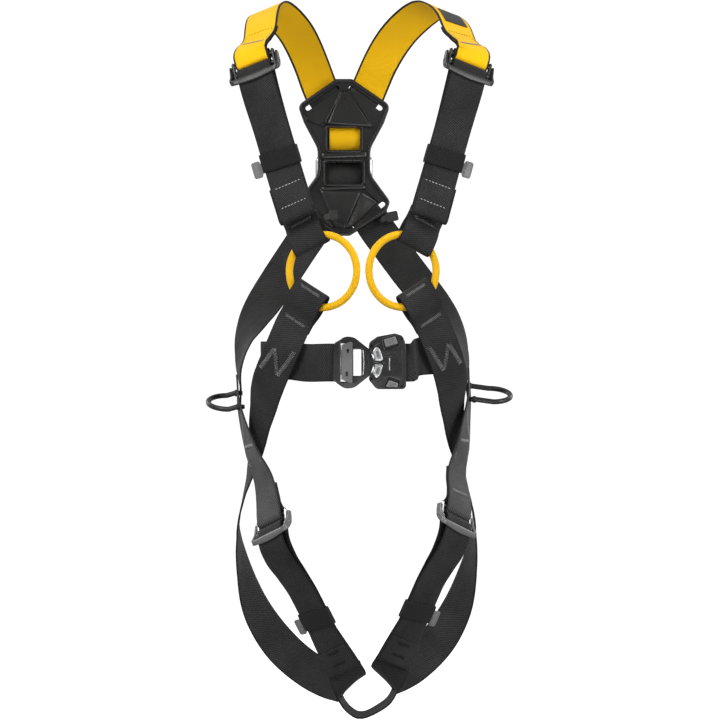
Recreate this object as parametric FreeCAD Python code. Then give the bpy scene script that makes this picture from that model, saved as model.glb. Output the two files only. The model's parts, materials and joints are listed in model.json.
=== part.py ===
"""Full-body safety harness: webbing, attachment loops, adjusters and a quick-release waist buckle.

Millimetres, +Z up, the wearer faces -Y, and "right" is +X as seen from the front. The origin is the centre
of the dorsal ring's opening. Strap routes are given once and mirrored. A station of a route is
(out, y, z, back, rise): the distance out from the harness's centre surface, the depth, the height, and how
many degrees the strap's outer edge turns back and rises.
"""
import math
import os

import FreeCAD
import Part
from FreeCAD import Vector

# Webbing
WEB_WIDTH = 45.0
WEB_THICK = 2.0
LAYER_GAP = 2.6            # between the centre planes of two sewn layers
ROUTE_STEPS = 3

# How the harness hangs
LEAN_FORWARD = 0.095       # the front hangs this much to the right per millimetre of depth
LEAN_DOWN = 0.05           # and this much more per millimetre below the waist
LEAN_START = -280.0
SIDE_SAG = 4.5             # the left side hangs low and the right side high by this much
SAG_TOP = -100.0
SAG_LENGTH = 150.0

# Adjusters
CHEST_ADJUSTER = (126.0, -232.0, 134.0, 20.0, -19.0)
LEG_ADJUSTER = (109.0, -195.0, -407.0, 48.0, -20.0)
ADJUSTER_TILT = 15.0
TOP_BAR_UP = 12.0
BAR_RADIUS = 2.2
LOCK_RADIUS = 2.8
PIN_RADIUS = 1.6
PIN_FIT = 0.05
ROD_OUT = 26.4
ARM_INNER = 28.9
ARM_OUTER = 32.3
RUNNING_GAP = 0.3

# Sternal attachment loops
STERNAL_CENTRE = (47.0, -245.0, -105.0)
STERNAL_YAW = 22.0
STERNAL_RADIUS = 43.0
STERNAL_SECTION = 4.4
UPPER_EYE = (25.0, 35.0, 64.0, 76.0)     # its direction, its fold, where its layers meet, its end
LOWER_EYE = (149.0, 28.5, 62.0, 74.0)

# Keepers
KEEPER_HEIGHT = 22.0
KEEPER_WALL = 1.2
KEEPER_HALF_WIDTH = 23.4
KEEPER_HALF_DEPTH = 3.4
TAB_WIDTH = 13.0
CHEST_KEEPER = (0.62, 4.0)     # the part of the way down its strap, and how far the strap bulges there
LEG_KEEPER = (0.645, 3.0)

# Dorsal fitting
PLATE_FRONT = -18.0
PLATE_BACK = -12.0
FACET_HEIGHT = 4.0
RING_BAR_HEIGHT = 40.0
RING_SECTION = 4.5
RING_HALF_WIDTH = 32.0
UPPER_CROSSING = ((108, 70, 58, 42, 36), (-7, -7, -3, 6.3, 6.5), 40.0)    # heights, depths, width
LOWER_CROSSING = ((-34, 6, 18, 28, 40, 50), (-7, -7, -3, 8, 9.6, 9.6), 44.0)

# Waist buckle
BUCKLE_CENTRE = Vector(53.0, -242.0, -213.0)
BUCKLE_HALF_DEPTH = 8.0
SHELL_WALL = 3.0
BUTTON_Z = 24.0
PLATE_PIVOT = Vector(-44.2, -1.8, 0)
JAW_THICK = 5.0
JAW_PIN_RADIUS = 1.5
RIVET_RADIUS = 1.3
TONGUE_HALF_THICK = 1.5
BELT_BAR_X = {-1: -61.0, 1: 18.0}
HINGE_RADIUS = 1.2
HINGE_X = 48.0     # of the plate's two small holes, left of the buckle's centre

# Tool loops
TOOL_TUBE_RADIUS = 3.2
TOOL_REACH = {-1: 34.0, 1: 45.0}
TOOL_OUT = {-1: 142.6, 1: 145.1}
TOOL_FRONT = (-152, -262)
TOOL_REAR = (-108, -246)

# Sub-pelvic strap
PELVIC_WIDTH = 30.0

SIDE_NAMES = {-1: "left", 1: "right"}

# Routes
SHOULDER_ROUTE = [
    (26, -10, 118, 0, -35), (33, -10.5, 135, 0, -36), (42, -19, 157, 0, -38), (67, -58, 198, 5, -25),
    (94, -95, 219, 10, -22), (109, -142, 212, 10, -21), (115, -180, 197, 15, -20), (120, -208, 176, 20, -19),
]
TORSO_ROUTE = [
    (97, -227, -202, 22, 25), (109, -206, -234, 32, 14), (116, -172, -272, 56, 6), (122, -142, -312, 68, 0),
    (133, -114, -358, 85, 0), (145, -90, -415, 90, -5), (139, -72, -466, 112, 4), (122, -62, -520, 140, 20),
    (94, -68, -562, 164, 40), (58, -88, -591, 174, 47), (34, -108, -601, 178, 46),
    (23, -128.5, -603, 180, 45),
]
HIP_STATION = 5            # the station of that route where the torso strap becomes the rear thigh strap
SPLICE_GAP = 0.4
FRONT_THIGH_ROUTE = [
    (31, -166, -574, 26, -24), (25, -159, -588, 14, -35), (22, -147, -598, 5, -42),
    (22, -132, -602.5, 0, -45),
]
BACK_ROUTE = [
    (30, -10, -30, 0, 38), (40, -10.5, -46, 0, 38), (54, -17, -66, 0, 38), (78, -32, -101, 5, 36),
    (103, -52, -137, 20, 28), (118, -72, -161, 45, 18), (131, -95, -192, 72, 8), (137, -120, -228, 88, 0),
    (137, -132, -252, 86, 0),
]
LATERAL_ROUTE = [
    (141, -122, -234, 88, 0), (140, -135, -258, 85, 0), (135, -148, -287, 78, 0), (127.5, -161, -318, 70, -5),
    (117, -173, -348, 60, -12),
]
BELT_ROUTE = [(116, -186, -207), (98, -206, -207), (82, -221, -208), (66, -233, -210)]
PELVIC_ROUTE = [(32, -130, -617, 99, 7), (25, -130, -628, 97, 8), (14, -130, -636, 94, 10)]
CHEST_HEM = (78, -252, -39, 20, -19)
LEG_HEM = (30, -171.5, -577, 26, -25)


# --- Places and routes -------------------------------------------------------------------------------------

def place(side, out, y, z):
    """A point of the hanging harness, on the side given as -1 (left) or +1 (right)."""
    lean = -LEAN_FORWARD * y + LEAN_DOWN * max(0.0, LEAN_START - z)
    sag = SIDE_SAG * min(1.0, max(0.0, (SAG_TOP - z) / SAG_LENGTH))
    return Vector(side * out + lean, y, z + side * sag)


def edge_direction(side, back, rise):
    """The direction from a strap's inner edge to its outer edge."""
    turn = math.radians(back)
    lift = math.radians(rise)
    flat = math.cos(lift)
    return Vector(side * math.cos(turn) * flat, math.sin(turn) * flat, math.sin(lift))


def stations(side, route):
    """The (centre, edge direction) pairs of a mirrored route."""
    return [(place(side, *s[:3]), edge_direction(side, *s[3:])) for s in route]


def smooth(frames, steps=ROUTE_STEPS):
    """More frames along a smooth curve through the given ones."""
    points = [centre for centre, _ in frames]
    spans = [(b - a).Length for a, b in zip(points, points[1:])]
    chords = [(b - a) * (1.0 / span) for a, b, span in zip(points, points[1:], spans)]
    slopes = [chords[0]]
    for before, after, c0, c1 in zip(spans, spans[1:], chords, chords[1:]):
        slopes.append((c0 * after + c1 * before) * (1.0 / (before + after)))
    slopes.append(chords[-1])
    result = []
    for i, span in enumerate(spans):
        for k in range(steps):
            t = k / steps
            centre = (
                points[i] * (1 - 3 * t**2 + 2 * t**3)
                + points[i + 1] * (3 * t**2 - 2 * t**3)
                + slopes[i] * (span * (t - 2 * t**2 + t**3))
                + slopes[i + 1] * (span * (t**3 - t**2))
            )
            edge = frames[i][1] * (1 - t) + frames[i + 1][1] * t
            result.append((centre, edge))
    result.append(frames[-1])
    return result


def direction_at(frames, i):
    """The direction along a route at one of its frames."""
    before = frames[max(i - 1, 0)][0]
    after = frames[min(i + 1, len(frames) - 1)][0]
    return (after - before).normalize()


def square_edge(edge, along):
    """The edge direction made square to the route."""
    return (edge - along * edge.dot(along)).normalize()


def ribbon(frames, width=WEB_WIDTH, thick=WEB_THICK):
    """A closed strap solid, with one rectangular section at each frame."""
    sections = []
    for i, (centre, edge) in enumerate(frames):
        along = direction_at(frames, i)
        edge = square_edge(edge, along)
        half_edge = edge * (width / 2)
        half_face = edge.cross(along) * (thick / 2)
        corners = [
            centre + half_edge + half_face,
            centre + half_edge - half_face,
            centre - half_edge - half_face,
            centre - half_edge + half_face,
        ]
        sections.append(Part.makePolygon(corners + corners[:1]))
    return Part.makeLoft(sections, True, True)


def shifted(frames, inward, amount):
    """The frames moved along their face's normal, towards the side that inward points to."""
    result = []
    for i, (centre, edge) in enumerate(frames):
        along = direction_at(frames, i)
        normal = square_edge(edge, along).cross(along)
        if normal.dot(inward) < 0:
            normal = normal * -1
        result.append((centre + normal * amount, edge))
    return result


class Basis:
    """A fitting's own directions: across the webbing, up it, and out of its face."""

    def __init__(self, side, origin, edge, up):
        self.side = side
        self.origin = origin
        self.edge = edge
        self.up = square_edge(up, edge)
        self.front = edge.cross(self.up) * side

    def at(self, up, front):
        """A frame of webbing at a height and depth in the fitting."""
        return (self.origin + self.up * up + self.front * front, self.edge)

    def put(self, shape):
        """A shape drawn with X to the right, Y up the webbing and Z out of the face, set in place."""
        turn = FreeCAD.Rotation(self.edge * self.side, self.up, self.front, "XYZ")
        placed = shape.copy()
        placed.Placement = FreeCAD.Placement(self.origin, turn)
        return placed

    def bend(self, up, radius, first, last, count=7):
        """Frames round a bar: angles in degrees, 0 at the front and 90 above the bar."""
        result = []
        for k in range(count):
            angle = math.radians(first + (last - first) * k / (count - 1))
            result.append(self.at(up + radius * math.sin(angle), radius * math.cos(angle)))
        return result


def adjuster_basis(side, spec):
    """The place of an adjuster's locking bar."""
    tilt = math.radians(ADJUSTER_TILT)
    edge = edge_direction(side, *spec[3:])
    return Basis(side, place(side, *spec[:3]), edge, Vector(0, math.sin(tilt), math.cos(tilt)))


# --- Simple solids -----------------------------------------------------------------------------------------

def block(x, y, z):
    """A box from three (low, high) pairs."""
    size = [high - low for low, high in (x, y, z)]
    return Part.makeBox(*size, Vector(x[0], y[0], z[0]))


def rod(start, end, radius):
    """A round bar between two points."""
    return Part.makeCylinder(radius, (end - start).Length, start, end - start)


def rounded_outline(corners):
    """A closed flat wire from (point, corner radius) pairs, with tangent arcs at the corners."""
    edges = []
    ends = []
    for i, (corner, radius) in enumerate(corners):
        before = (corners[i - 1][0] - corner).normalize()
        after = (corners[(i + 1) % len(corners)][0] - corner).normalize()
        half = before.getAngle(after) / 2
        reach = radius / math.tan(half)
        middle = (before + after).normalize()
        start = corner + before * reach
        end = corner + after * reach
        nearest = corner + middle * (radius / math.sin(half) - radius)
        ends.append((start, end))
        edges.append(Part.Arc(start, nearest, end).toShape())
    outline = []
    for i, arc in enumerate(edges):
        following = ends[(i + 1) % len(ends)][0]
        outline.append(arc)
        outline.append(Part.LineSegment(ends[i][1], following).toShape())
    return Part.Wire(outline)


def plate(corners, depth):
    """A flat plate: its rounded outline pushed along a vector."""
    return Part.Face(rounded_outline(corners)).extrude(depth)


def mirrored_corners(half, y):
    """(x, z, radius) corners of the right half, closed with their mirror image, at a depth."""
    right = [(Vector(x, y, z), radius) for x, z, radius in half]
    left = [(Vector(-x, y, z), radius) for x, z, radius in reversed(half)]
    return right + left


def softened(shape, radius):
    """The shape with its sharp edges rounded."""
    return shape.makeFillet(radius, shape.Edges)


def export(name, shape):
    """Write one sub-part."""
    if not shape.isValid():
        print("invalid:", name)
    shape.exportStep("parts/" + name + ".step")


# --- Sternal loops and their eyes --------------------------------------------------------------------------

class SternalLoop:
    """A round textile loop whose plane is turned a little outward."""

    def __init__(self, side):
        yaw = math.radians(STERNAL_YAW)
        self.side = side
        self.centre = place(side, *STERNAL_CENTRE)
        self.out = Vector(side * math.cos(yaw), math.sin(yaw), 0)
        self.front = Vector(side * math.sin(yaw), -math.cos(yaw), 0)

    def eye(self, spec):
        """Frames of webbing folded round the loop, from the rear layer's end to the front layer's."""
        turn, fold, join, end = spec
        angle = math.radians(turn)
        radial = self.out * math.sin(angle) + Vector(0, 0, math.cos(angle))
        edge = self.out * math.cos(angle) - Vector(0, 0, math.sin(angle))
        if edge.dot(self.out) < 0:
            edge = edge * -1
        open_half = STERNAL_SECTION + 0.5 + WEB_THICK / 2
        sewn_half = LAYER_GAP / 2
        leg_top = STERNAL_RADIUS + STERNAL_SECTION + 4
        rear = [(end, sewn_half), (join, sewn_half), (leg_top, open_half)]
        frames = [(self.centre + radial * r - self.front * h, edge) for r, h in rear]
        for k in range(7):
            bend = math.pi * k / 6
            inset = fold - open_half * math.sin(bend)
            offset = -open_half * math.cos(bend)
            frames.append((self.centre + radial * inset + self.front * offset, edge))
        frames += [(self.centre + radial * r + self.front * h, edge) for r, h in reversed(rear)]
        return frames

    def solid(self):
        """The loop itself."""
        return Part.makeTorus(STERNAL_RADIUS, STERNAL_SECTION, self.centre, self.front)


# --- Webbing -----------------------------------------------------------------------------------------------

def sewn_end(main, fitting, bar_up):
    """Webbing that comes down to a bar, turns under it, and is sewn up its own back."""
    radius = BAR_RADIUS + RUNNING_GAP + WEB_THICK / 2
    down = smooth(main + [fitting.at(bar_up + 10, radius), fitting.at(bar_up, radius)])
    behind = shifted(down, fitting.front * -1, LAYER_GAP)
    turn = fitting.bend(bar_up, radius, 0, -180)
    join = [fitting.at(bar_up + 5, -radius), fitting.at(bar_up + 11, radius - LAYER_GAP - 1.6)]
    layer = [frame for frame in reversed(behind) if 18 < (frame[0] - turn[-1][0]).Length < 52]
    return down + turn[1:] + join + layer


def shoulder_strap(side, chest):
    return ribbon(sewn_end(stations(side, SHOULDER_ROUTE), chest, TOP_BAR_UP))


def lateral_strap(side, leg):
    return ribbon(sewn_end(stations(side, LATERAL_ROUTE), leg, TOP_BAR_UP))


def keeper_basis(adjuster, below, fraction, bulge):
    """The place of a keeper, part of the way from the adjuster down to the strap's other end."""
    up = (adjuster.origin - below).normalize()
    keeper = Basis(adjuster.side, adjuster.origin, square_edge(adjuster.edge, up), up)
    keeper.origin = adjuster.origin + (below - adjuster.origin) * fraction + keeper.front * bulge
    return keeper


def layered_stretch(keeper, front):
    """Three frames of a straight stretch through a keeper, bottom first."""
    return [keeper.at(height, front) for height in (-16, 10, 36)]


def adjusted_strap(adjuster, keeper, lower, hem):
    """A load layer up to the locking bar, its turn over the bar, and the free end down to its hem."""
    radius = LOCK_RADIUS + RUNNING_GAP + WEB_THICK / 2
    half = LAYER_GAP / 2
    load = lower[-1:] + layered_stretch(keeper, -half) + [adjuster.at(-14, -radius), adjuster.at(0, -radius)]
    tail = [adjuster.at(0, radius), adjuster.at(-14, radius)]
    tail += list(reversed(layered_stretch(keeper, half))) + [hem]
    turn = adjuster.bend(0, radius, 180, 0)
    return ribbon(lower[:-1] + smooth(load) + turn[1:-1] + smooth(tail))


def torso_straps(side, loop):
    """The torso strap from its loop to the hip, and its run on from there behind the thigh."""
    eye = loop.eye(LOWER_EYE)
    frames = eye[:-1] + smooth(eye[-1:] + stations(side, TORSO_ROUTE))
    split = len(eye) - 1 + ROUTE_STEPS * (HIP_STATION + 1)
    centre, edge = frames[split]
    first = (centre + direction_at(frames, split) * SPLICE_GAP, edge)
    return ribbon(frames[:split + 1]), ribbon([first] + frames[split + 1:])


def crossing_route(route):
    """Frames of a route that runs from the left side to the right, its edges turned straight back."""
    return stations(-1, route) + list(reversed(stations(1, route)))


def waist_belt(side, bar):
    """A belt half, sewn behind the torso strap and folded round its bar on the buckle."""
    radius = BAR_RADIUS + 2 * RUNNING_GAP + WEB_THICK / 2
    up = Vector(0, 0, 1)
    away = Vector(side, 0, 0)
    front = Vector(0, -radius, 0)
    sewn = Vector(0, LAYER_GAP + 0.8, 0)
    frames = [(place(side, *spot), up) for spot in BELT_ROUTE]
    frames = smooth(frames + [(bar + away * 9 + front * 0.85, up), (bar + front * 0.97, up)])
    for k in range(1, 7):
        angle = math.pi * k / 6
        frames.append((bar + front * math.cos(angle) - away * radius * math.sin(angle), up))
    frames += [(bar + away * reach + front + sewn, up) for reach in (8, 13)]
    return ribbon(frames)


def crossing(z_values, y_values, width):
    """Webbing that passes upright behind the dorsal plate and round the ring's bar."""
    across = Vector(1, 0, 0)
    return ribbon(smooth([(Vector(0, y, z), across) for z, y in zip(z_values, y_values)]), width)


# --- Adjusters and keepers ---------------------------------------------------------------------------------

def adjuster_bail():
    """Side rods joined by the top bar and the locking bar, with a pin at each end of the locking bar."""
    top = Vector(0, TOP_BAR_UP, 0)
    sideways = Vector(ROD_OUT, 0, 0)
    solid = rod(top - sideways, top + sideways, BAR_RADIUS)
    solid = solid.fuse(rod(-sideways, sideways, LOCK_RADIUS))
    pin = Vector(ARM_OUTER + 0.5, 0, 0)
    solid = solid.fuse(rod(-pin, pin, PIN_RADIUS))
    for side in SIDE_NAMES:
        low = Vector(side * ROD_OUT, -4, 0)
        high = Vector(side * ROD_OUT, 15.5, 0)
        solid = solid.fuse([rod(low, high, BAR_RADIUS), Part.makeSphere(BAR_RADIUS, high)])
    return solid.removeSplitter()


def adjuster_frame():
    """Two arms that turn on the pins, joined by the lip in front of the webbing."""
    lip = softened(block((-ARM_OUTER, ARM_OUTER), (-13.5, -6.5), (6.2, 8.8)), 0.9)
    frame = lip
    for side in SIDE_NAMES:
        x = sorted((side * ARM_INNER, side * ARM_OUTER))
        arm = block(x, (-13.0, 12.0), (-3.5, 3.5)).fuse(block(x, (-13.0, -7.0), (-3.5, 8.0)))
        frame = frame.fuse(arm.removeSplitter())
    hole = rod(Vector(-40, 0, 0), Vector(40, 0, 0), PIN_RADIUS + PIN_FIT)
    return frame.cut(hole)


def keeper_band():
    """An elastic band round both layers of the strap."""
    y = (-KEEPER_HEIGHT / 2, KEEPER_HEIGHT / 2)
    width, depth = KEEPER_HALF_WIDTH, KEEPER_HALF_DEPTH
    outer = block(
        (-width - KEEPER_WALL, width + KEEPER_WALL), y, (-depth - KEEPER_WALL, depth + KEEPER_WALL)
    )
    upright = [edge for edge in outer.Edges if abs(edge.tangentAt(0).y) > 0.9]
    outer = outer.makeFillet(2.0, upright)
    return outer.cut(block((-width, width), (-20, 20), (-depth, depth)))


def keeper_tab(side):
    """The grey pull tab sewn to the band's outer edge."""
    inner = KEEPER_HALF_WIDTH + KEEPER_WALL
    x = sorted((side * inner, side * (inner + TAB_WIDTH)))
    return softened(block(x, (-13.0, 8.0), (-1.4, 1.4)), 1.0)


# --- Dorsal fitting ----------------------------------------------------------------------------------------

def slot(x, z, tilt, length, height):
    """A cutter for a slot with round ends, through the plate."""
    half = (length - height) / 2
    low, high = PLATE_FRONT - 6, PLATE_BACK + 2
    depth = Vector(0, high - low, 0)
    cutter = Part.makeBox(2 * half, high - low, height, Vector(-half, low, -height / 2))
    for end in (-half, half):
        cutter = cutter.fuse(Part.makeCylinder(height / 2, depth.y, Vector(end, low, 0), depth))
    cutter.rotate(Vector(0, 0, 0), Vector(0, 1, 0), -tilt)
    cutter.translate(Vector(x, 0, z))
    return cutter


def facet(corners, inset):
    """A low raised facet on the plate's front."""
    centre = Vector(0, 0, 0)
    for corner in corners:
        centre = centre + corner * (1 / len(corners))
    raised = [c + (centre - c) * inset + Vector(0, -FACET_HEIGHT, 0) for c in corners]
    base = [c + Vector(0, 0.5, 0) for c in corners]
    wires = [Part.makePolygon(points + points[:1]) for points in (base, raised)]
    return Part.makeLoft(wires, True, True)


def dorsal_plate():
    """The moulded plate: four slots for the straps and two windows over the crossing."""
    half = [
        (10, 141, 5), (58, 108, 9), (50, 86, 10), (33, 54, 25), (33, 22, 25), (58, -12, 8), (52, -27, 8),
        (7, -55, 4),
    ]
    body = plate(mirrored_corners(half, PLATE_BACK), Vector(0, PLATE_FRONT - PLATE_BACK, 0))
    body = softened(body, 1.2)
    y = PLATE_FRONT
    body = body.fuse(facet([Vector(-28, y, 86), Vector(0, y, 126), Vector(28, y, 86)], 0.35))
    lower = [Vector(-30, y, -3), Vector(30, y, -3), Vector(6, y, -46), Vector(-6, y, -46)]
    body = body.fuse(facet(lower, 0.35))
    for side in SIDE_NAMES:
        body = body.cut(slot(side * 27, 117, side * -35, 50, 6))
        body = body.cut(slot(side * 31, -29, side * 38, 50, 6))
    for low, high, width in ((52, 80, 40), (10, 37, 45)):
        window = block((-width / 2, width / 2), (PLATE_FRONT - 6, PLATE_BACK + 2), (low, high))
        upright = [edge for edge in window.Edges if abs(edge.tangentAt(0).y) > 0.9]
        body = body.cut(window.makeFillet(3.0, upright))
    return body


def dorsal_ring():
    """A D-shaped ring: a straight bar at the top, two sides and a round foot."""
    half, top = RING_HALF_WIDTH, RING_BAR_HEIGHT
    left, right = Vector(-half, 0, top), Vector(half, 0, top)
    low_left, low_right = Vector(-half, 0, -4), Vector(half, 0, -4)
    solid = rod(left, right, RING_SECTION).fuse([
        rod(low_left, left, RING_SECTION),
        rod(low_right, right, RING_SECTION),
        Part.makeSphere(RING_SECTION, left),
        Part.makeSphere(RING_SECTION, right),
    ])
    circle = Part.Wire(Part.makeCircle(RING_SECTION, low_right, Vector(0, 0, 1)))
    foot = Part.Wire(Part.Arc(low_right, Vector(0, 0, -4 - half), low_left).toShape())
    return solid.fuse(foot.makePipeShell([circle], True, False))


# --- Waist buckle ------------------------------------------------------------------------------------------

BODY_HALF = [(-23.5, 19, 4), (-15, 27.5, 5), (2, 32.5, 6), (18, 31, 7), (23.5, 16, 6)]


def buckle_outline(half, y, inset=0.0):
    """Corners of the buckle body, mirrored about its centre line."""
    centre = BUCKLE_CENTRE
    shrink = 1 - inset / 30.0
    upper = [(centre.x + x * shrink, centre.z + z * shrink, r) for x, z, r in half]
    lower = [(x, 2 * centre.z - z, r) for x, z, r in reversed(upper)]
    return [(Vector(x, y, z), radius) for x, z, radius in upper + lower]


def buckle_block(x, z, y=(-30.0, 30.0)):
    """A box in the buckle, from its centre."""
    centre = BUCKLE_CENTRE
    return block(x, y, z).translated(centre)


def rivet_places():
    """Four rivets in the body's rim."""
    places = ((-19.5, 19.5), (16.5, 28.0))
    return [BUCKLE_CENTRE + Vector(x, 0, sign * z) for x, z in places for sign in (-1, 1)]


def buckle_shells():
    """The front shell with its cavity, and the rear cover."""
    front = BUCKLE_CENTRE.y - BUCKLE_HALF_DEPTH
    back = BUCKLE_CENTRE.y + BUCKLE_HALF_DEPTH
    cover_front = back - SHELL_WALL
    shell = plate(buckle_outline(BODY_HALF, cover_front), Vector(0, front - cover_front, 0))
    rim = [edge for edge in shell.Edges if abs(edge.CenterOfMass.y - front) < 0.01]
    shell = shell.makeFillet(1.6, rim)
    depth = cover_front - front - SHELL_WALL
    shell = shell.cut(plate(buckle_outline(BODY_HALF, cover_front, 5.0), Vector(0, -depth, 0)))
    cavity = (SHELL_WALL - BUCKLE_HALF_DEPTH, BUCKLE_HALF_DEPTH)
    shell = shell.cut(buckle_block((-30, -10), (-10, 10), cavity))
    shell = shell.cut(buckle_block((10, 30), (-23.2, 23.2), cavity))
    for sign in (-1, 1):
        window = sorted((sign * 2.5, sign * 17.0))
        shell = shell.cut(buckle_block((-19, -5.5), window, (-9, -4)))
        opening = sorted((sign * (BUTTON_Z - 8.6), sign * (BUTTON_Z + 12)))
        shell = shell.cut(buckle_block((-4.5, 13.5), opening, (-9, SHELL_WALL - BUCKLE_HALF_DEPTH + 7.5)))
    shell = shell.cut(buckle_block((1.6, 2.8), (-9, 9), (-9, -4)))
    shell = shell.cut(belt_bar(PIN_FIT))
    cover = plate(buckle_outline(BODY_HALF, back), Vector(0, -SHELL_WALL, 0))
    for centre in rivet_places():
        hole = Part.makeCylinder(RIVET_RADIUS, 40, centre - Vector(0, 20, 0), Vector(0, 1, 0))
        shell, cover = shell.cut(hole), cover.cut(hole)
    return shell, cover


def button(sign):
    """A ribbed push button in the edge of the body."""
    z = sorted((sign * (BUTTON_Z - 4.5), sign * (BUTTON_Z + 8.5)))
    solid = softened(buckle_block((-4.1, 13.1), z, (-8.6, 1.6)), 0.8)
    for k in range(4):
        groove = sorted((sign * (BUTTON_Z + k * 2.4), sign * (BUTTON_Z + k * 2.4 + 1.0)))
        solid = solid.cut(buckle_block((-2.5, 11.5), groove, (-9, -7.9)))
    return solid


def jaw_pivot(sign):
    return BUCKLE_CENTRE + Vector(-1.0, 0, sign * 11.0)


def jaw(sign):
    """A lever whose hook closes behind the tongue's head and whose tail lies under the button."""
    half = JAW_THICK / 2
    arm = buckle_block((-15, 7.5), sorted((sign * 9.2, sign * 12.5)), (-half, half))
    hook = buckle_block((-18.5, -13.0), sorted((sign * 5.8, sign * 12.5)), (-half, half))
    tail = buckle_block((3.5, 7.5), sorted((sign * 9.0, sign * 16.5)), (-half, half))
    pivot = jaw_pivot(sign)
    boss = Part.makeCylinder(4.0, JAW_THICK, pivot - Vector(0, half, 0), Vector(0, 1, 0))
    hole = Part.makeCylinder(JAW_PIN_RADIUS + PIN_FIT, 20, pivot - Vector(0, 10, 0), Vector(0, 1, 0))
    return arm.fuse([hook, tail, boss]).removeSplitter().cut(hole)


def jaw_pins():
    """The two pins that the jaws turn on, between the shell and the cover."""
    start = SHELL_WALL - BUCKLE_HALF_DEPTH
    length = 2 * (BUCKLE_HALF_DEPTH - SHELL_WALL)
    feet = [jaw_pivot(sign) + Vector(0, start, 0) for sign in (-1, 1)]
    return Part.makeCompound([rod(foot, foot + Vector(0, length, 0), JAW_PIN_RADIUS) for foot in feet])


def button_springs():
    """A flat return spring inboard of each button, clear of its travel."""
    springs = []
    for sign in (-1, 1):
        z = sorted((sign * 13.9, sign * 14.8))
        springs.append(buckle_block((9.0, 13.0), z, (-3, 3)))
    return Part.makeCompound(springs)


def tongue():
    """A flat steel tongue with a T head."""
    half = TONGUE_HALF_THICK
    neck = buckle_block((-27, -12.6), (-5.0, 5.0), (-half, half))
    head = buckle_block((-12.8, -8.0), (-8.6, 8.6), (-half, half))
    root = buckle_block((-30, -26), (-18, 18), (-half, half))
    return neck.fuse([head, root]).removeSplitter()


def tongue_frame():
    """The frame that carries the tongue, with a round bar for the belt on its far side."""
    centre = BUCKLE_CENTRE
    half = [(-63, 27, 3), (-50, 30, 6), (-33, 29.5, 6), (-24.5, 18, 4)]
    frame = plate(buckle_outline(half, centre.y + 4), Vector(0, -8, 0))
    frame = softened(frame, 1.2)
    frame = frame.cut(buckle_block((-70, -41), (-23.2, 23.2)))
    frame = frame.cut(buckle_block((-42, -29.5), (-16.5, 16.5)))
    frame = frame.cut(buckle_block((-30.2, -22), (-18.2, 18.2), (-1.6, 1.6)))
    bar = belt_bar_centre(-1)
    frame = frame.fuse(rod(bar - Vector(0, 0, 25), bar + Vector(0, 0, 25), BAR_RADIUS))
    return frame.cut(adjuster_pin(PIN_FIT))


def belt_bar(extra=0.0):
    """The loose bar in the body that the right belt folds round."""
    centre = belt_bar_centre(1)
    return rod(centre - Vector(0, 0, 26), centre + Vector(0, 0, 26), BAR_RADIUS + extra)


def belt_bar_centre(side):
    """The centre of the bar that a belt half folds round."""
    return BUCKLE_CENTRE + Vector(BELT_BAR_X[side], 0, 0)


def adjuster_pin(extra=0.0):
    """The pin that the adjuster plate turns on."""
    foot = BUCKLE_CENTRE + PLATE_PIVOT - Vector(0, 0, 25)
    return rod(foot, foot + Vector(0, 0, 50), HINGE_RADIUS + extra)


def adjuster_plate():
    """The grey plate that clamps the left belt, turning on its pin."""
    body = softened(buckle_block((-54.0, -41.6), (-22.6, 22.6), (-6.5, -3.2)), 1.0)
    for z in (-16.0, 16.0):
        body = body.cut(Part.makeCylinder(1.2, 20, BUCKLE_CENTRE + Vector(-HINGE_X, -12, z), Vector(0, 1, 0)))
    pivot = BUCKLE_CENTRE + PLATE_PIVOT
    barrel = rod(pivot - Vector(0, 0, 20), pivot + Vector(0, 0, 20), 2.4)
    return body.fuse(barrel).cut(adjuster_pin(PIN_FIT))


# --- Tool loops and labels ---------------------------------------------------------------------------------

def tool_loop(side):
    """A round tube loop standing out from the hip, open between its two ends."""
    front = place(side, TOOL_OUT[side], *TOOL_FRONT)
    rear = place(side, TOOL_OUT[side], *TOOL_REAR)
    spread = (rear - front) * 0.5
    radius = spread.Length
    out = Vector(side * (TOOL_REACH[side] - radius), 0, -3)
    tip = (front + rear) * 0.5 + out + Vector(side, 0, 0) * radius
    path = Part.Wire([
        Part.LineSegment(front, front + out).toShape(),
        Part.Arc(front + out, tip, rear + out).toShape(),
        Part.LineSegment(rear + out, rear).toShape(),
    ])
    section = Part.Wire(Part.makeCircle(TOOL_TUBE_RADIUS, front, out))
    return path.makePipeShell([section], True, False)


def blank_labels():
    """Two blank tags behind the dorsal plate's lower end and a blank label on the right shoulder."""
    tags = [
        block((-20.0, -6.0), (-23.4, -22.4), (-38.0, -26.0)),
        block((50.5, 66.5), (-20.6, -19.6), (-42.0, -29.0)),
    ]
    route = smooth(stations(1, SHOULDER_ROUTE))[-6:-2]
    patch = ribbon(shifted(route, Vector(0, -1, 0.3), 1.7), 30.0, 0.8)
    return Part.makeCompound(tags + [patch])


# --- Assembly ----------------------------------------------------------------------------------------------

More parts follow.
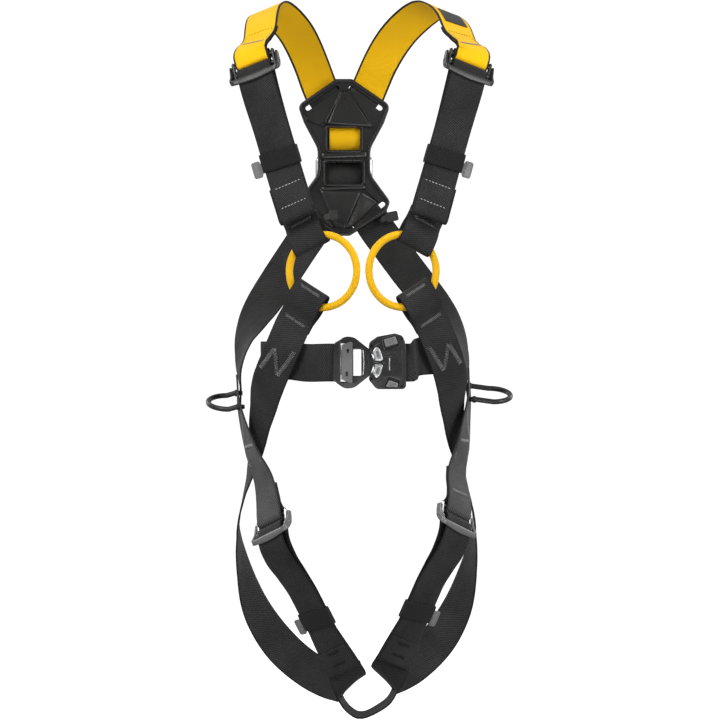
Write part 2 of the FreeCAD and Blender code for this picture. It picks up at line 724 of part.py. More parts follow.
def export_side(side):
    """Everything that one side has."""
    name = SIDE_NAMES[side]
    chest = adjuster_basis(side, CHEST_ADJUSTER)
    leg = adjuster_basis(side, LEG_ADJUSTER)
    loop = SternalLoop(side)

    export("sternal_loop_" + name, loop.solid())
    export("shoulder_strap_" + name, shoulder_strap(side, chest))
    export("lateral_strap_" + name, lateral_strap(side, leg))
    torso, rear_thigh = torso_straps(side, loop)
    export("torso_strap_" + name, torso)
    export("rear_thigh_strap_" + name, rear_thigh)
    export("back_strap_" + name, ribbon(smooth(stations(side, BACK_ROUTE))))
    export("waist_belt_" + name, waist_belt(side, belt_bar_centre(side)))
    export("tool_loop_" + name, tool_loop(side))

    eye = loop.eye(UPPER_EYE)
    thigh = list(reversed(stations(side, FRONT_THIGH_ROUTE)))
    fittings = (
        ("chest", chest, eye, CHEST_HEM, CHEST_KEEPER),
        ("leg", leg, thigh, LEG_HEM, LEG_KEEPER),
    )
    strap_names = {"chest": "chest_strap_", "leg": "front_thigh_strap_"}
    for kind, adjuster, lower, hem, spec in fittings:
        keeper = keeper_basis(adjuster, lower[-1][0], *spec)
        strap = adjusted_strap(adjuster, keeper, lower, stations(side, [hem])[0])
        export(strap_names[kind] + name, strap)
        export(kind + "_adjuster_frame_" + name, adjuster.put(adjuster_frame()))
        export(kind + "_adjuster_bail_" + name, adjuster.put(adjuster_bail()))
        export(kind + "_keeper_band_" + name, keeper.put(keeper_band()))
        export(kind + "_keeper_tab_" + name, keeper.put(keeper_tab(side)))
        print(kind, name, "pivot", adjuster.origin, "axis", adjuster.edge * side)
        print(kind, name, "keeper", keeper.origin, "up", keeper.up)
    print("sternal loop", name, loop.centre, "axis", loop.front)


def export_middle():
    """The parts on the centre line."""
    export("dorsal_plate", dorsal_plate())
    export("dorsal_ring", dorsal_ring())
    export("upper_crossing", crossing(*UPPER_CROSSING))
    export("lower_crossing", crossing(*LOWER_CROSSING))
    export("sub_pelvic_strap", ribbon(smooth(crossing_route(PELVIC_ROUTE)), PELVIC_WIDTH))
    export("blank_labels", blank_labels())


def export_buckle():
    """The quick-release buckle at the waist."""
    shell, cover = buckle_shells()
    export("buckle_shell", shell)
    export("buckle_rear_cover", cover)
    for sign, name in ((1, "upper"), (-1, "lower")):
        export("buckle_button_" + name, button(sign))
        export("buckle_jaw_" + name, jaw(sign))
        print("jaw", name, jaw_pivot(sign))
    export("jaw_pins", jaw_pins())
    export("button_springs", button_springs())
    export("tongue", tongue())
    export("tongue_frame", tongue_frame())
    export("adjuster_plate", adjuster_plate())
    export("adjuster_pin", adjuster_pin())
    export("belt_bar", belt_bar())
    length = 2 * BUCKLE_HALF_DEPTH
    rivets = [
        Part.makeCylinder(RIVET_RADIUS, length, centre - Vector(0, BUCKLE_HALF_DEPTH, 0), Vector(0, 1, 0))
        for centre in rivet_places()
    ]
    export("buckle_rivets", Part.makeCompound(rivets))


os.makedirs("parts", exist_ok=True)
for each_side in SIDE_NAMES:
    export_side(each_side)
export_middle()
export_buckle()
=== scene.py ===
import json
import math

import bmesh
import bpy
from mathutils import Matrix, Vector

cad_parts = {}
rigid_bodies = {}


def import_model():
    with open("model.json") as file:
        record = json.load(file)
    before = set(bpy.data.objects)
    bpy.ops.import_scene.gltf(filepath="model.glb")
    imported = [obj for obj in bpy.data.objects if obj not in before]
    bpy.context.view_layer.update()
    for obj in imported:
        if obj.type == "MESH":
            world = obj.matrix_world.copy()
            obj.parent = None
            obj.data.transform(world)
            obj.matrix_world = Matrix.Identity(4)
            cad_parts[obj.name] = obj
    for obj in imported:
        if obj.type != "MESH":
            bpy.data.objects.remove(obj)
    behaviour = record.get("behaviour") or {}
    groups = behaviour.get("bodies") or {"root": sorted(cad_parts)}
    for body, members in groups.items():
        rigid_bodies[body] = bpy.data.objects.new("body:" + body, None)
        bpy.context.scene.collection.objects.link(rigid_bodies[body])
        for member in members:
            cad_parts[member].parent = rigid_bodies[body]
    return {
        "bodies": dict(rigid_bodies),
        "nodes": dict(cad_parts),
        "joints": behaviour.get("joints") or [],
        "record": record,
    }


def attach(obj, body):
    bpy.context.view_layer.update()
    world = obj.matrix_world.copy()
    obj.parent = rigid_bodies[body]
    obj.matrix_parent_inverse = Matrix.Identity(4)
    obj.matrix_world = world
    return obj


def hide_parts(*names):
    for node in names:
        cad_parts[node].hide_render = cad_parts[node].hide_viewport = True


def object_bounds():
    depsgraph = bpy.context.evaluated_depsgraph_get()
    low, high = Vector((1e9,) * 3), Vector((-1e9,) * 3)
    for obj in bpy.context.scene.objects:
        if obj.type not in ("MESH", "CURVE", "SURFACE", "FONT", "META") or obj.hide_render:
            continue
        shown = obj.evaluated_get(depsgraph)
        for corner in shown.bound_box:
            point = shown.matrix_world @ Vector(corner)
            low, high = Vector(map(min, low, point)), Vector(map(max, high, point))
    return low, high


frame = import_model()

CAD_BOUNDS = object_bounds()
MM = 0.001
SIDES = {-1: "left", 1: "right"}
ROOT = "harness"
UV = "webbing"

# The webbing and how the harness hangs, as in the CAD, in millimetres
WEB_WIDTH = 45.0
WEB_THICK = 2.0
LAYER_GAP = 2.6
LEAN_FORWARD = 0.095
LEAN_DOWN = 0.05
LEAN_START = -280.0
SIDE_SAG = 4.5
SAG_TOP = -100.0
SAG_LENGTH = 150.0
CHEST_ADJUSTER = (126.0, -232.0, 134.0, 20.0, -19.0)
LEG_ADJUSTER = (109.0, -195.0, -407.0, 48.0, -20.0)
ADJUSTER_TILT = 15.0
TOP_BAR_UP = 12.0
BAR_RADIUS = 2.2
LOCK_RADIUS = 2.8
RUNNING_GAP = 0.3
ROLL_FULLNESS = 1.1       # webbing stands this far off the bars it turns round
STERNAL_CENTRE = (47.0, -245.0, -105.0)
STERNAL_YAW = 22.0
STERNAL_RADIUS = 43.0
STERNAL_SECTION = 4.4
UPPER_EYE = (25.0, 35.0, 64.0, 76.0)
LOWER_EYE = (149.0, 28.5, 62.0, 74.0)
KEEPER_HEIGHT = 22.0
KEEPER_HALF_WIDTH = 23.4
KEEPER_HALF_DEPTH = 3.4
KEEPER_SKIN = 0.6
KEEPER_CORNER = 2.4
TAB_DROP = -5.0
CHEST_KEEPER = (0.62, 4.0)
LEG_KEEPER = (0.645, 3.0)
PELVIC_WIDTH = 30.0
PLATE_FRONT = -18.0
BUCKLE_CENTRE = Vector((53.0, -242.0, -213.0))
TOOL_TUBE_RADIUS = 3.2
TOOL_REACH = {-1: 34.0, 1: 45.0}
TOOL_OUT = {-1: 142.6, 1: 145.1}
TOOL_FRONT = (-152, -262)
TOOL_REAR = (-108, -246)
TOOL_INSET = 9.0          # how far the loop's ends go in under the straps

SHOULDER_ROUTE = [
    (26, -10, 118, 0, -35), (33, -10.5, 135, 0, -36), (42, -19, 157, 0, -38), (67, -58, 198, 5, -25),
    (94, -95, 219, 10, -22), (109, -142, 212, 10, -21), (115, -180, 197, 15, -20), (120, -208, 176, 20, -19),
]
TORSO_ROUTE = [
    (97, -227, -202, 22, 25), (109, -206, -234, 32, 14), (116, -172, -272, 56, 6), (122, -142, -312, 68, 0),
    (133, -114, -358, 85, 0), (145, -90, -415, 90, -5), (139, -72, -466, 112, 4), (122, -62, -520, 140, 20),
    (94, -68, -562, 164, 40), (58, -88, -591, 174, 47), (34, -108, -601, 178, 46),
    (23, -128.5, -603, 180, 45),
]
FRONT_THIGH_ROUTE = [
    (31, -166, -574, 26, -24), (25, -159, -588, 14, -35), (22, -147, -598, 5, -42),
    (22, -132, -602.5, 0, -45),
]
BACK_ROUTE = [
    (30, -10, -30, 0, 38), (40, -10.5, -46, 0, 38), (54, -17, -66, 0, 38), (78, -32, -101, 5, 36),
    (103, -52, -137, 20, 28), (118, -72, -161, 45, 18), (131, -95, -192, 72, 8), (137, -120, -228, 88, 0),
    (137, -132, -252, 86, 0),
]
LATERAL_ROUTE = [
    (141, -122, -234, 88, 0), (140, -135, -258, 85, 0), (135, -148, -287, 78, 0), (127.5, -161, -318, 70, -5),
    (117, -173, -348, 60, -12),
]
BELT_ROUTE = [(116, -186, -207), (98, -206, -207), (82, -221, -208), (66, -233, -210)]
PELVIC_ROUTE = [(36, -130, -610, 99, 7), (25, -130, -628, 97, 8), (14, -130, -636, 94, 10)]
CHEST_HEM = (78, -252, -39, 20, -19)
LEG_HEM = (30, -171.5, -577, 26, -25)


# --- Materials ---------------------------------------------------------------------------------------------

class Nodes:
    """A node material under construction, with short calls for the nodes it uses."""

    def __init__(self, name, **constants):
        self.material = bpy.data.materials.new(name)
        self.material.use_nodes = True
        self.tree = self.material.node_tree
        self.shader = self.tree.nodes["Principled BSDF"]
        for socket, value in constants.items():
            self.shader.inputs[socket.replace("_", " ")].default_value = value

    def link(self, value, socket):
        """Feed a socket from another node's output, or set it to a number or colour."""
        if isinstance(value, bpy.types.NodeSocket):
            self.tree.links.new(value, socket)
        else:
            socket.default_value = value

    def math(self, operation, *values):
        node = self.tree.nodes.new("ShaderNodeMath")
        node.operation = operation
        for i, value in enumerate(values):
            self.link(value, node.inputs[i])
        return node.outputs[0]

    def mix(self, factor, a, b):
        node = self.tree.nodes.new("ShaderNodeMix")
        node.data_type = "RGBA"
        self.link(factor, node.inputs["Factor"])
        self.link(a, node.inputs[6])
        self.link(b, node.inputs[7])
        return node.outputs[2]

    def noise(self, scale, detail=3.0, vector=None):
        node = self.tree.nodes.new("ShaderNodeTexNoise")
        node.inputs["Scale"].default_value = scale
        node.inputs["Detail"].default_value = detail
        self.tree.links.new(vector or self.place(), node.inputs["Vector"])
        return node.outputs["Fac"]

    def place(self):
        return self.tree.nodes.new("ShaderNodeTexCoord").outputs["Object"]

    def ramp(self, value, low, high, start=0.0, end=1.0):
        """A number moved from one range to another, and kept inside it."""
        node = self.tree.nodes.new("ShaderNodeMapRange")
        for i, item in enumerate((value, low, high, start, end)):
            self.link(item, node.inputs[i])
        return node.outputs[0]

    def bump(self, height, distance, strength=1.0, below=None):
        node = self.tree.nodes.new("ShaderNodeBump")
        node.inputs["Distance"].default_value = distance
        node.inputs["Strength"].default_value = strength
        self.link(height, node.inputs["Height"])
        if below is not None:
            self.link(below, node.inputs["Normal"])
        return node.outputs["Normal"]

    def cloth(self):
        """Millimetres along the strap and across it, from the piece's own UV map."""
        uv = self.tree.nodes.new("ShaderNodeUVMap")
        uv.uv_map = UV
        split = self.tree.nodes.new("ShaderNodeSeparateXYZ")
        self.link(uv.outputs["UV"], split.inputs[0])
        return split.outputs["X"], split.outputs["Y"]

    def finish(self, colour, roughness, normal):
        self.link(colour, self.shader.inputs["Base Color"])
        self.link(roughness, self.shader.inputs["Roughness"])
        self.link(normal, self.shader.inputs["Normal"])
        return self.material


def grey(value, alpha=1.0):
    return (value, value, value, alpha)


def shade(colour, amount):
    return tuple(min(1.0, c * amount) for c in colour[:3]) + (1.0,)


def webbing_material(name, dark, light, selvedge, selvedge_width=1.2, pitch=2.2, contrast=1.0):
    """Woven webbing: small diagonal floats in rows, painted shade in the hollows between them and painted
    highlights on the floats, and a firm selvedge.
    """
    m = Nodes(name, Sheen_Weight=0.04, Sheen_Roughness=0.4, Specular_IOR_Level=0.16)
    along, across = m.cloth()
    row = m.math("MULTIPLY", across, 2 * math.pi / pitch)
    slope = m.math("MULTIPLY", m.math("ADD", along, m.math("MULTIPLY", across, 0.5)), 2 * math.pi / pitch)
    weave = m.ramp(m.math("MULTIPLY", m.math("SINE", slope), m.math("SINE", row)), -0.8, 0.8)
    pick = m.ramp(m.math("SINE", m.math("MULTIPLY", along, 2 * math.pi / (pitch * 0.5))), -1.0, 1.0)
    height = m.math("ADD", m.math("MULTIPLY", weave, 0.75), m.math("MULTIPLY", pick, 0.25))
    broad = m.noise(24.0, 4.0)
    fine = m.noise(900.0, 2.0)
    # The weave's height also sets its colour: painted shade in the hollows, painted highlights on the raised
    # floats, with fine random flecks.
    weave_shade_and_fleck = m.math("ADD", m.math("MULTIPLY", height, 0.65 * contrast), m.math("MULTIPLY", fine, 0.35))
    body = m.mix(m.ramp(weave_shade_and_fleck, 0.25, 0.9), dark, light)
    body = m.mix(m.ramp(broad, 0.35, 0.75, 0.0, 0.4), body, dark)
    to_edge = m.math("MINIMUM", across, m.math("SUBTRACT", WEB_WIDTH, across))
    border = m.ramp(to_edge, selvedge_width - 0.2, selvedge_width + 0.2, 1.0, 0.0)
    coloured = m.mix(border, body, m.mix(fine, shade(selvedge, 0.6), shade(selvedge, 1.7)))
    groove = m.ramp(m.math("ABSOLUTE", m.math("SUBTRACT", to_edge, selvedge_width + 0.8)), 0.0, 0.7)
    normal = m.bump(groove, 0.0004, 0.6)
    normal = m.bump(height, 0.0006, 0.8, normal)
    normal = m.bump(fine, 0.0002, 0.5, normal)
    return m.finish(coloured, m.ramp(broad, 0.3, 0.7, 0.6, 0.78), normal)


def moulded_material(name, colour, low=0.32, high=0.5, grain=0.00012):
    """Moulded plastic: fine grain, uneven gloss and slightly paler rubbed spots."""
    m = Nodes(name, Specular_IOR_Level=0.5)
    broad = m.noise(22.0, 5.0)
    fine = m.noise(1400.0, 2.0)
    body = m.mix(m.ramp(broad, 0.4, 0.75), colour, shade(colour, 1.5))
    scuffs = m.ramp(m.noise(160.0, 8.0), 0.63, 0.72)
    body = m.mix(m.math("MULTIPLY", scuffs, 0.35), body, shade(colour, 2.6))
    normal = m.bump(fine, grain, 0.6)
    return m.finish(body, m.ramp(broad, 0.3, 0.7, low, high), normal)


def metal_material(name, colour, low=0.22, high=0.4, metallic=1.0):
    """Worked metal: long fine brushing, smudges and small nicks."""
    m = Nodes(name, Metallic=metallic)
    stretch = m.tree.nodes.new("ShaderNodeMapping")
    stretch.inputs["Scale"].default_value = (1.0, 1.0, 14.0)
    m.link(m.place(), stretch.inputs["Vector"])
    brushed = m.noise(260.0, 3.0, stretch.outputs["Vector"])
    broad = m.noise(35.0, 4.0)
    nicks = m.ramp(m.noise(420.0, 6.0), 0.66, 0.74)
    body = m.mix(m.ramp(brushed, 0.3, 0.7), shade(colour, 0.8), shade(colour, 1.1))
    body = m.mix(m.math("MULTIPLY", nicks, 0.4), body, shade(colour, 0.5))
    normal = m.bump(brushed, 0.00008, 0.5)
    return m.finish(body, m.ramp(broad, 0.3, 0.7, low, high), normal)


def braid_material(name, colour, dark):
    """A woven tube: yarns crossing on the diagonal, from the ring's own UV in millimetres."""
    m = Nodes(name, Sheen_Weight=0.04, Specular_IOR_Level=0.2)
    along, around = m.cloth()
    one = m.math("SINE", m.math("MULTIPLY", m.math("ADD", along, around), 2 * math.pi / 2.6))
    two = m.math("SINE", m.math("MULTIPLY", m.math("SUBTRACT", along, around), 2 * math.pi / 2.6))
    weave = m.ramp(m.math("MULTIPLY", one, two), -1.0, 1.0)
    fine = m.noise(1000.0, 2.0)
    body = m.mix(m.ramp(weave, 0.1, 0.7), dark, colour)
    body = m.mix(m.math("MULTIPLY", fine, 0.35), body, shade(colour, 0.75))
    normal = m.bump(weave, 0.0007, 0.9)
    return m.finish(body, m.ramp(fine, 0.3, 0.7, 0.6, 0.8), normal)


def elastic_material(name, colour):
    """Ribbed elastic, with fine ribs along its band."""
    m = Nodes(name, Sheen_Weight=0.04, Specular_IOR_Level=0.2)
    around, down = m.cloth()
    rib = m.ramp(m.math("SINE", m.math("MULTIPLY", down, 2 * math.pi / 2.2)), -1.0, 1.0)
    cross = m.ramp(m.math("SINE", m.math("MULTIPLY", around, 2 * math.pi / 1.1)), -1.0, 1.0)
    fine = m.noise(900.0, 2.0)
    weave = m.math("ADD", m.math("MULTIPLY", rib, 0.7), m.math("MULTIPLY", cross, 0.3))
    body = m.mix(m.math("MULTIPLY", weave, fine), shade(colour, 0.7), shade(colour, 2.6))
    return m.finish(body, m.ramp(fine, 0.3, 0.7, 0.65, 0.85), m.bump(weave, 0.0005, 0.8))


def thread_material(name, colour):
    """Sewing thread: a fine twist and uneven dye."""
    m = Nodes(name, Sheen_Weight=0.04, Specular_IOR_Level=0.2)
    fine = m.noise(1600.0, 3.0)
    body = m.mix(fine, shade(colour, 0.65), shade(colour, 1.2))
    return m.finish(body, m.ramp(fine, 0.3, 0.7, 0.6, 0.8), m.bump(fine, 0.0002, 0.5))


YELLOW = (1.0, 0.56, 0.003, 1.0)
MATERIALS = {
    "webbing_yellow": webbing_material(
        "webbing_yellow", shade(YELLOW, 0.86), shade(YELLOW, 1.06), grey(0.010), 2.5, 1.8, 0.6),
    "webbing_black": webbing_material("webbing_black", grey(0.002), grey(0.058), grey(0.008), 1.2, 2.5),
    "webbing_grey": webbing_material("webbing_grey", grey(0.014), grey(0.140), grey(0.022), 1.6, 2.8),
    "loop_yellow": braid_material("loop_yellow", (1.0, 0.58, 0.004, 1.0), (0.62, 0.28, 0.001, 1.0)),
    "moulded_black": moulded_material("moulded_black", grey(0.006), 0.22, 0.38),
    "steel_black": metal_material("steel_black", grey(0.022), 0.28, 0.42, 0.3),
    "steel_bright": metal_material("steel_bright", (0.50, 0.51, 0.52, 1.0)),
    "tube_black": moulded_material("tube_black", grey(0.006), 0.35, 0.5),
    "elastic_black": elastic_material("elastic_black", grey(0.007)),
    "elastic_plain": moulded_material("elastic_plain", grey(0.010), 0.6, 0.8, 0.0004),
    "lip_grey": metal_material("lip_grey", grey(0.15), 0.30, 0.5, 0.6),
    "button_grey": moulded_material("button_grey", grey(0.13), 0.35, 0.5),
    "tab_grey": moulded_material("tab_grey", grey(0.13), 0.4, 0.55, 0.0003),
    "plastic_grey": moulded_material("plastic_grey", grey(0.085), 0.35, 0.5),
    "label": moulded_material("label", grey(0.009), 0.5, 0.65),
    "thread_grey": thread_material("thread_grey", grey(0.27)),
    "thread_pale": thread_material("thread_pale", grey(0.55)),
    "thread_black": thread_material("thread_black", grey(0.012)),
}


# --- Places and routes, as in the CAD ----------------------------------------------------------------------

def place(side, out, y, z):
    """A point of the hanging harness, on the side given as -1 (left) or +1 (right)."""
    lean = -LEAN_FORWARD * y + LEAN_DOWN * max(0.0, LEAN_START - z)
    sag = SIDE_SAG * min(1.0, max(0.0, (SAG_TOP - z) / SAG_LENGTH))
    return Vector((side * out + lean, y, z + side * sag))


def edge_direction(side, back, rise):
    turn, lift = math.radians(back), math.radians(rise)
    flat = math.cos(lift)
    return Vector((side * math.cos(turn) * flat, math.sin(turn) * flat, math.sin(lift)))


def stations(side, route):
    return [(place(side, *s[:3]), edge_direction(side, *s[3:])) for s in route]


def smooth(frames, steps=3):
    """More (centre, edge direction) frames along a smooth curve through the given ones."""
    points = [centre for centre, _ in frames]
    spans = [(b - a).length for a, b in zip(points, points[1:])]
    chords = [(b - a) / span for a, b, span in zip(points, points[1:], spans)]
    slopes = [chords[0]]
    for before, after, c0, c1 in zip(spans, spans[1:], chords, chords[1:]):
        slopes.append((c0 * after + c1 * before) / (before + after))
    slopes.append(chords[-1])
    result = []
    for i, span in enumerate(spans):
        for k in range(steps):
            t = k / steps
            centre = (
                points[i] * (1 - 3 * t**2 + 2 * t**3)
                + points[i + 1] * (3 * t**2 - 2 * t**3)
                + slopes[i] * (span * (t - 2 * t**2 + t**3))
                + slopes[i + 1] * (span * (t**3 - t**2))
            )
            result.append((centre, frames[i][1] * (1 - t) + frames[i + 1][1] * t))
    result.append(frames[-1])
    return result


def direction_at(frames, i):
    return (frames[min(i + 1, len(frames) - 1)][0] - frames[max(i - 1, 0)][0]).normalized()


def square_edge(edge, along):
    return (edge - along * edge.dot(along)).normalized()


def shifted(frames, inward, amount):
    result = []
    for i, (centre, edge) in enumerate(frames):
        along = direction_at(frames, i)
        normal = square_edge(edge, along).cross(along)
        if normal.dot(inward) < 0:
            normal = -normal
        result.append((centre + normal * amount, edge))
    return result


class Basis:
    """A fitting's own directions: across the webbing, up it, and out of its face."""

    def __init__(self, side, origin, edge, up):
        self.side = side
        self.origin = origin
        self.edge = edge
        self.up = square_edge(up, edge)
        self.front = edge.cross(self.up) * side

    def at(self, up, front):
        return (self.origin + self.up * up + self.front * front, self.edge)

    def point(self, right, up, front):
        return self.origin + self.edge * (right * self.side) + self.up * up + self.front * front

    def bend(self, up, radius, first, last, count=7):
        result = []
        for k in range(count):
            angle = math.radians(first + (last - first) * k / (count - 1))
            result.append(self.at(up + radius * math.sin(angle), radius * math.cos(angle)))
        return result


def adjuster_basis(side, spec):
    tilt = math.radians(ADJUSTER_TILT)
    edge = edge_direction(side, *spec[3:])
    return Basis(side, place(side, *spec[:3]), edge, Vector((0, math.sin(tilt), math.cos(tilt))))


def keeper_basis(adjuster, below, fraction, bulge):
    up = (adjuster.origin - below).normalized()
    keeper = Basis(adjuster.side, adjuster.origin, square_edge(adjuster.edge, up), up)
    keeper.origin = adjuster.origin + (below - adjuster.origin) * fraction + keeper.front * bulge
    return keeper


class SternalLoop:
    """A round textile loop whose plane is turned a little outward."""

    def __init__(self, side):
        yaw = math.radians(STERNAL_YAW)
        self.centre = place(side, *STERNAL_CENTRE)
        self.out = Vector((side * math.cos(yaw), math.sin(yaw), 0))
        self.front = Vector((side * math.sin(yaw), -math.cos(yaw), 0))

    def eye(self, spec):
        turn, fold, join, end = spec
        angle = math.radians(turn)
        radial = self.out * math.sin(angle) + Vector((0, 0, math.cos(angle)))
        edge = self.out * math.cos(angle) - Vector((0, 0, math.sin(angle)))
        if edge.dot(self.out) < 0:
            edge = -edge
        open_half = STERNAL_SECTION + 0.5 + WEB_THICK / 2
        sewn_half = LAYER_GAP / 2
        rear = [(end, sewn_half), (join, sewn_half), (STERNAL_RADIUS + STERNAL_SECTION + 4, open_half)]
        frames = [(self.centre + radial * r - self.front * h, edge) for r, h in rear]
        for k in range(7):
            bend = math.pi * k / 6
            inset = fold - open_half * math.sin(bend)
            offset = -open_half * math.cos(bend)
            frames.append((self.centre + radial * inset + self.front * offset, edge))
        frames += [(self.centre + radial * r + self.front * h, edge) for r, h in reversed(rear)]
        return frames


# --- Meshes ------------------------------------------------------------------------------------------------

def mesh_object(name, points, faces, material, body=ROOT, replaced=(), uvs=None):
    """A smooth-shaded piece, in millimetres, that rides on a body."""
    mesh = bpy.data.meshes.new(name)
    mesh.from_pydata([p * MM for p in points], [], faces)
    if uvs is not None:
        layer = mesh.uv_layers.new(name=UV)
        for loop, uv in zip(layer.data, uvs):
            loop.uv = uv
    mesh.materials.append(MATERIALS[material])
    mesh.validate()
    tidy = bmesh.new()
    tidy.from_mesh(mesh)
    bmesh.ops.recalc_face_normals(tidy, faces=tidy.faces)
    tidy.to_mesh(mesh)
    tidy.free()
    mesh.polygons.foreach_set("use_smooth", [True] * len(mesh.polygons))
    piece = bpy.data.objects.new(name, mesh)
    bpy.context.scene.collection.objects.link(piece)
    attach(piece, body)
    if replaced:
        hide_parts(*replaced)
    return piece


def strap_section(width, thick, across=14):
    """Outline of webbing: two faces a touch crowned, and round selvedges. (edge offset, face offset, v)."""
    half, depth = width / 2, thick / 2
    top = []
    for k in range(across + 1):
        t = -1 + 2 * k / across
        crown = depth * (1 - 0.10 * math.cos(math.pi * t)) * (1 - 0.10 * abs(t) ** 12)
        top.append((t * (half - depth * 0.9), crown))
    right = [(half - depth * 0.9 + depth * 0.9 * math.cos(a), depth * 0.86 * math.sin(a))
             for a in (0.9, 0.3, -0.3, -0.9)]
    bottom = [(x, -y) for x, y in reversed(top)]
    left = [(-x, -y) for x, y in right]
    return [(x, y, x + half) for x, y in top + right + bottom + left]


class Strap:
    """A strap laid along frames, with places on its surface for stitching."""

    def __init__(self, name, frames, width=WEB_WIDTH, thick=WEB_THICK, step=2.5, ripple=0.25):
        self.name, self.width, self.thick = name, width, thick
        fine = [frames[0]]
        for i in range(len(frames) - 1):
            near = frames[max(0, i - 1):i + 3]
            count = max(1, round((frames[i + 1][0] - frames[i][0]).length / step))
            offset = (i - max(0, i - 1)) * count
            fine += smooth(near, count)[offset + 1:offset + count + 1]
        self.rows = []
        distance = 0.0
        for i, (centre, edge) in enumerate(fine):
            along = direction_at(fine, i)
            edge = square_edge(edge, along)
            normal = edge.cross(along)
            if i:
                distance += (centre - fine[i - 1][0]).length
            wave = ripple * math.sin(distance / 17.0) * math.sin(distance / 41.0 + len(name))
            self.rows.append((centre + normal * wave, edge, normal, distance))
        self.length = distance

    def build(self, material, slot, replaced=(), body=ROOT, across=14):
        """The strap's closed mesh."""
        section = strap_section(self.width, self.thick, across)
        count = len(section)
        points = [c + e * x + n * y for c, e, n, _ in self.rows for x, y, _ in section]
        faces, uvs = [], []
        for i in range(len(self.rows) - 1):
            low, high = self.rows[i][3], self.rows[i + 1][3]
            for k in range(count):
                j = (k + 1) % count
                faces.append((i * count + k, i * count + j, (i + 1) * count + j, (i + 1) * count + k))
                near, far = section[k][2], section[j][2]
                uvs += [(low, near), (low, far), (high, far), (high, near)]
        last = (len(self.rows) - 1) * count
        for row, ring in ((self.rows[0], list(range(count))[::-1]),
                          (self.rows[-1], [last + k for k in range(count)])):
            faces.append(tuple(ring))
            uvs += [(row[3], section[k % count][2]) for k in ring]
        return mesh_object(self.name, points, faces, material, body, replaced, uvs)

    def at(self, distance, offset, outward, lift=0.0):
        """A point on the face that looks outward: along the strap, off its centre line, and above it."""
        rows = self.rows
        i = 0
        while i < len(rows) - 2 and rows[i + 1][3] < distance:
            i += 1
        c0, e0, n0, d0 = rows[i]
        c1, e1, n1, d1 = rows[i + 1]
        t = (distance - d0) / max(1e-6, d1 - d0)
        centre, edge, normal = c0.lerp(c1, t), e0.lerp(e1, t), n0.lerp(n1, t)
        if normal.dot(outward) < 0:
            normal = -normal
        return centre + edge * offset + normal * (self.thick / 2 + lift)

    def nearest(self, target):
        """The distance along the strap that is closest to a point."""
        return min(self.rows, key=lambda row: (row[0] - target).length)[3]


class Shapes:
    """Rounded bars, slabs and raised patches, collected into one piece."""

    def __init__(self):
        self.points, self.faces = [], []

    def sweep(self, route, wides, sizes, closed=False, sides=14, power=2.6):
        """A bar along a route. Each section has a direction for its width, and (half width, half depth)."""
        start, count = len(self.points), len(route)
        for i, centre in enumerate(route):
            before = route[i - 1] if closed or i else centre
            after = route[(i + 1) % count] if closed or i < count - 1 else centre
            along = (after - before).normalized()
            wide = square_edge(wides[i % len(wides)], along)
            deep = along.cross(wide)
            half_wide, half_deep = sizes[i % len(sizes)]
            for k in range(sides):
                turn = 2 * math.pi * (k + 0.5) / sides
                c, q = math.cos(turn), math.sin(turn)
                x = math.copysign(abs(c) ** (2 / power), c) * half_wide
                y = math.copysign(abs(q) ** (2 / power), q) * half_deep
                self.points.append(centre + wide * x + deep * y)
        for i in range(count if closed else count - 1):
            a, b = start + i * sides, start + (i + 1) % count * sides
            for k in range(sides):
                j = (k + 1) % sides
                self.faces.append((a + k, a + j, b + j, b + k))
        if not closed:
            last = start + (count - 1) * sides
            self.faces.append(tuple(start + k for k in reversed(range(sides))))
            self.faces.append(tuple(last + k for k in range(sides)))

    def patch(self, corners, heights, base, steps=14, crown=0.6):
        """A raised facet over four (x, z) corners, with a height at each, standing on the plane y = base."""
        start = len(self.points)
        grid = [(i / steps, j / steps) for i in range(steps + 1) for j in range(steps + 1)]
        for top in (True, False):
            for u, v in grid:
                weights = ((1 - u) * (1 - v), u * (1 - v), u * v, (1 - u) * v)
                x = sum(w * c[0] for w, c in zip(weights, corners))
                z = sum(w * c[1] for w, c in zip(weights, corners))
                rise = sum(w * h for w, h in zip(weights, heights))
                rise += crown * math.sin(math.pi * u) * math.sin(math.pi * v)
                edge = min(u, v, 1 - u, 1 - v) * steps
                rise -= 0.7 * max(0.0, 1 - edge) ** 2
                self.points.append(Vector((x, base - rise if top else base + 0.6, z)))
        width = steps + 1
        block = width * width
        for layer in (0, 1):
            for i in range(steps):
                for j in range(steps):
                    a = start + layer * block + i * width + j
                    self.faces.append((a, a + 1, a + width + 1, a + width))
        border = [j for j in range(steps)]
        border += [steps + i * width for i in range(steps)]
        border += [steps * width + steps - j for j in range(steps)]
        border += [(steps - i) * width for i in range(steps)]
        for a, b in zip(border, border[1:] + border[:1]):
            self.faces.append((start + a, start + b, start + block + b, start + block + a))

    def build(self, name, material, slot, body=ROOT, replaced=()):
        return mesh_object(name, self.points, self.faces, material, body, replaced)


def rounded_path(corners, step=2.0):
    """Points round a closed outline of (x, z, radius) corners, with arcs at the corners."""
    path = []
    for i, (x, z, radius) in enumerate(corners):
        corner = Vector((x, z))
        before = (Vector(corners[i - 1][:2]) - corner).normalized()
        after = (Vector(corners[(i + 1) % len(corners)][:2]) - corner).normalized()
        half = before.angle(after) / 2
        centre = corner + (before + after).normalized() * (radius / math.sin(half))
        start = corner + before * (radius / math.tan(half))
        end = corner + after * (radius / math.tan(half))
        sweep = math.pi - 2 * half
        count = max(3, int(radius * sweep / step))
        first = start - centre
        turn = 1 if first.x * (end - centre).y - first.y * (end - centre).x > 0 else -1
        for k in range(count + 1):
            angle = turn * sweep * k / count
            path.append(centre + Vector((first.x * math.cos(angle) - first.y * math.sin(angle),
                                         first.x * math.sin(angle) + first.y * math.cos(angle))))
    dense = []
    for a, b in zip(path, path[1:] + path[:1]):
        count = max(1, int((b - a).length / (2 * step)))
        dense += [a.lerp(b, k / count) for k in range(count)]
    return dense


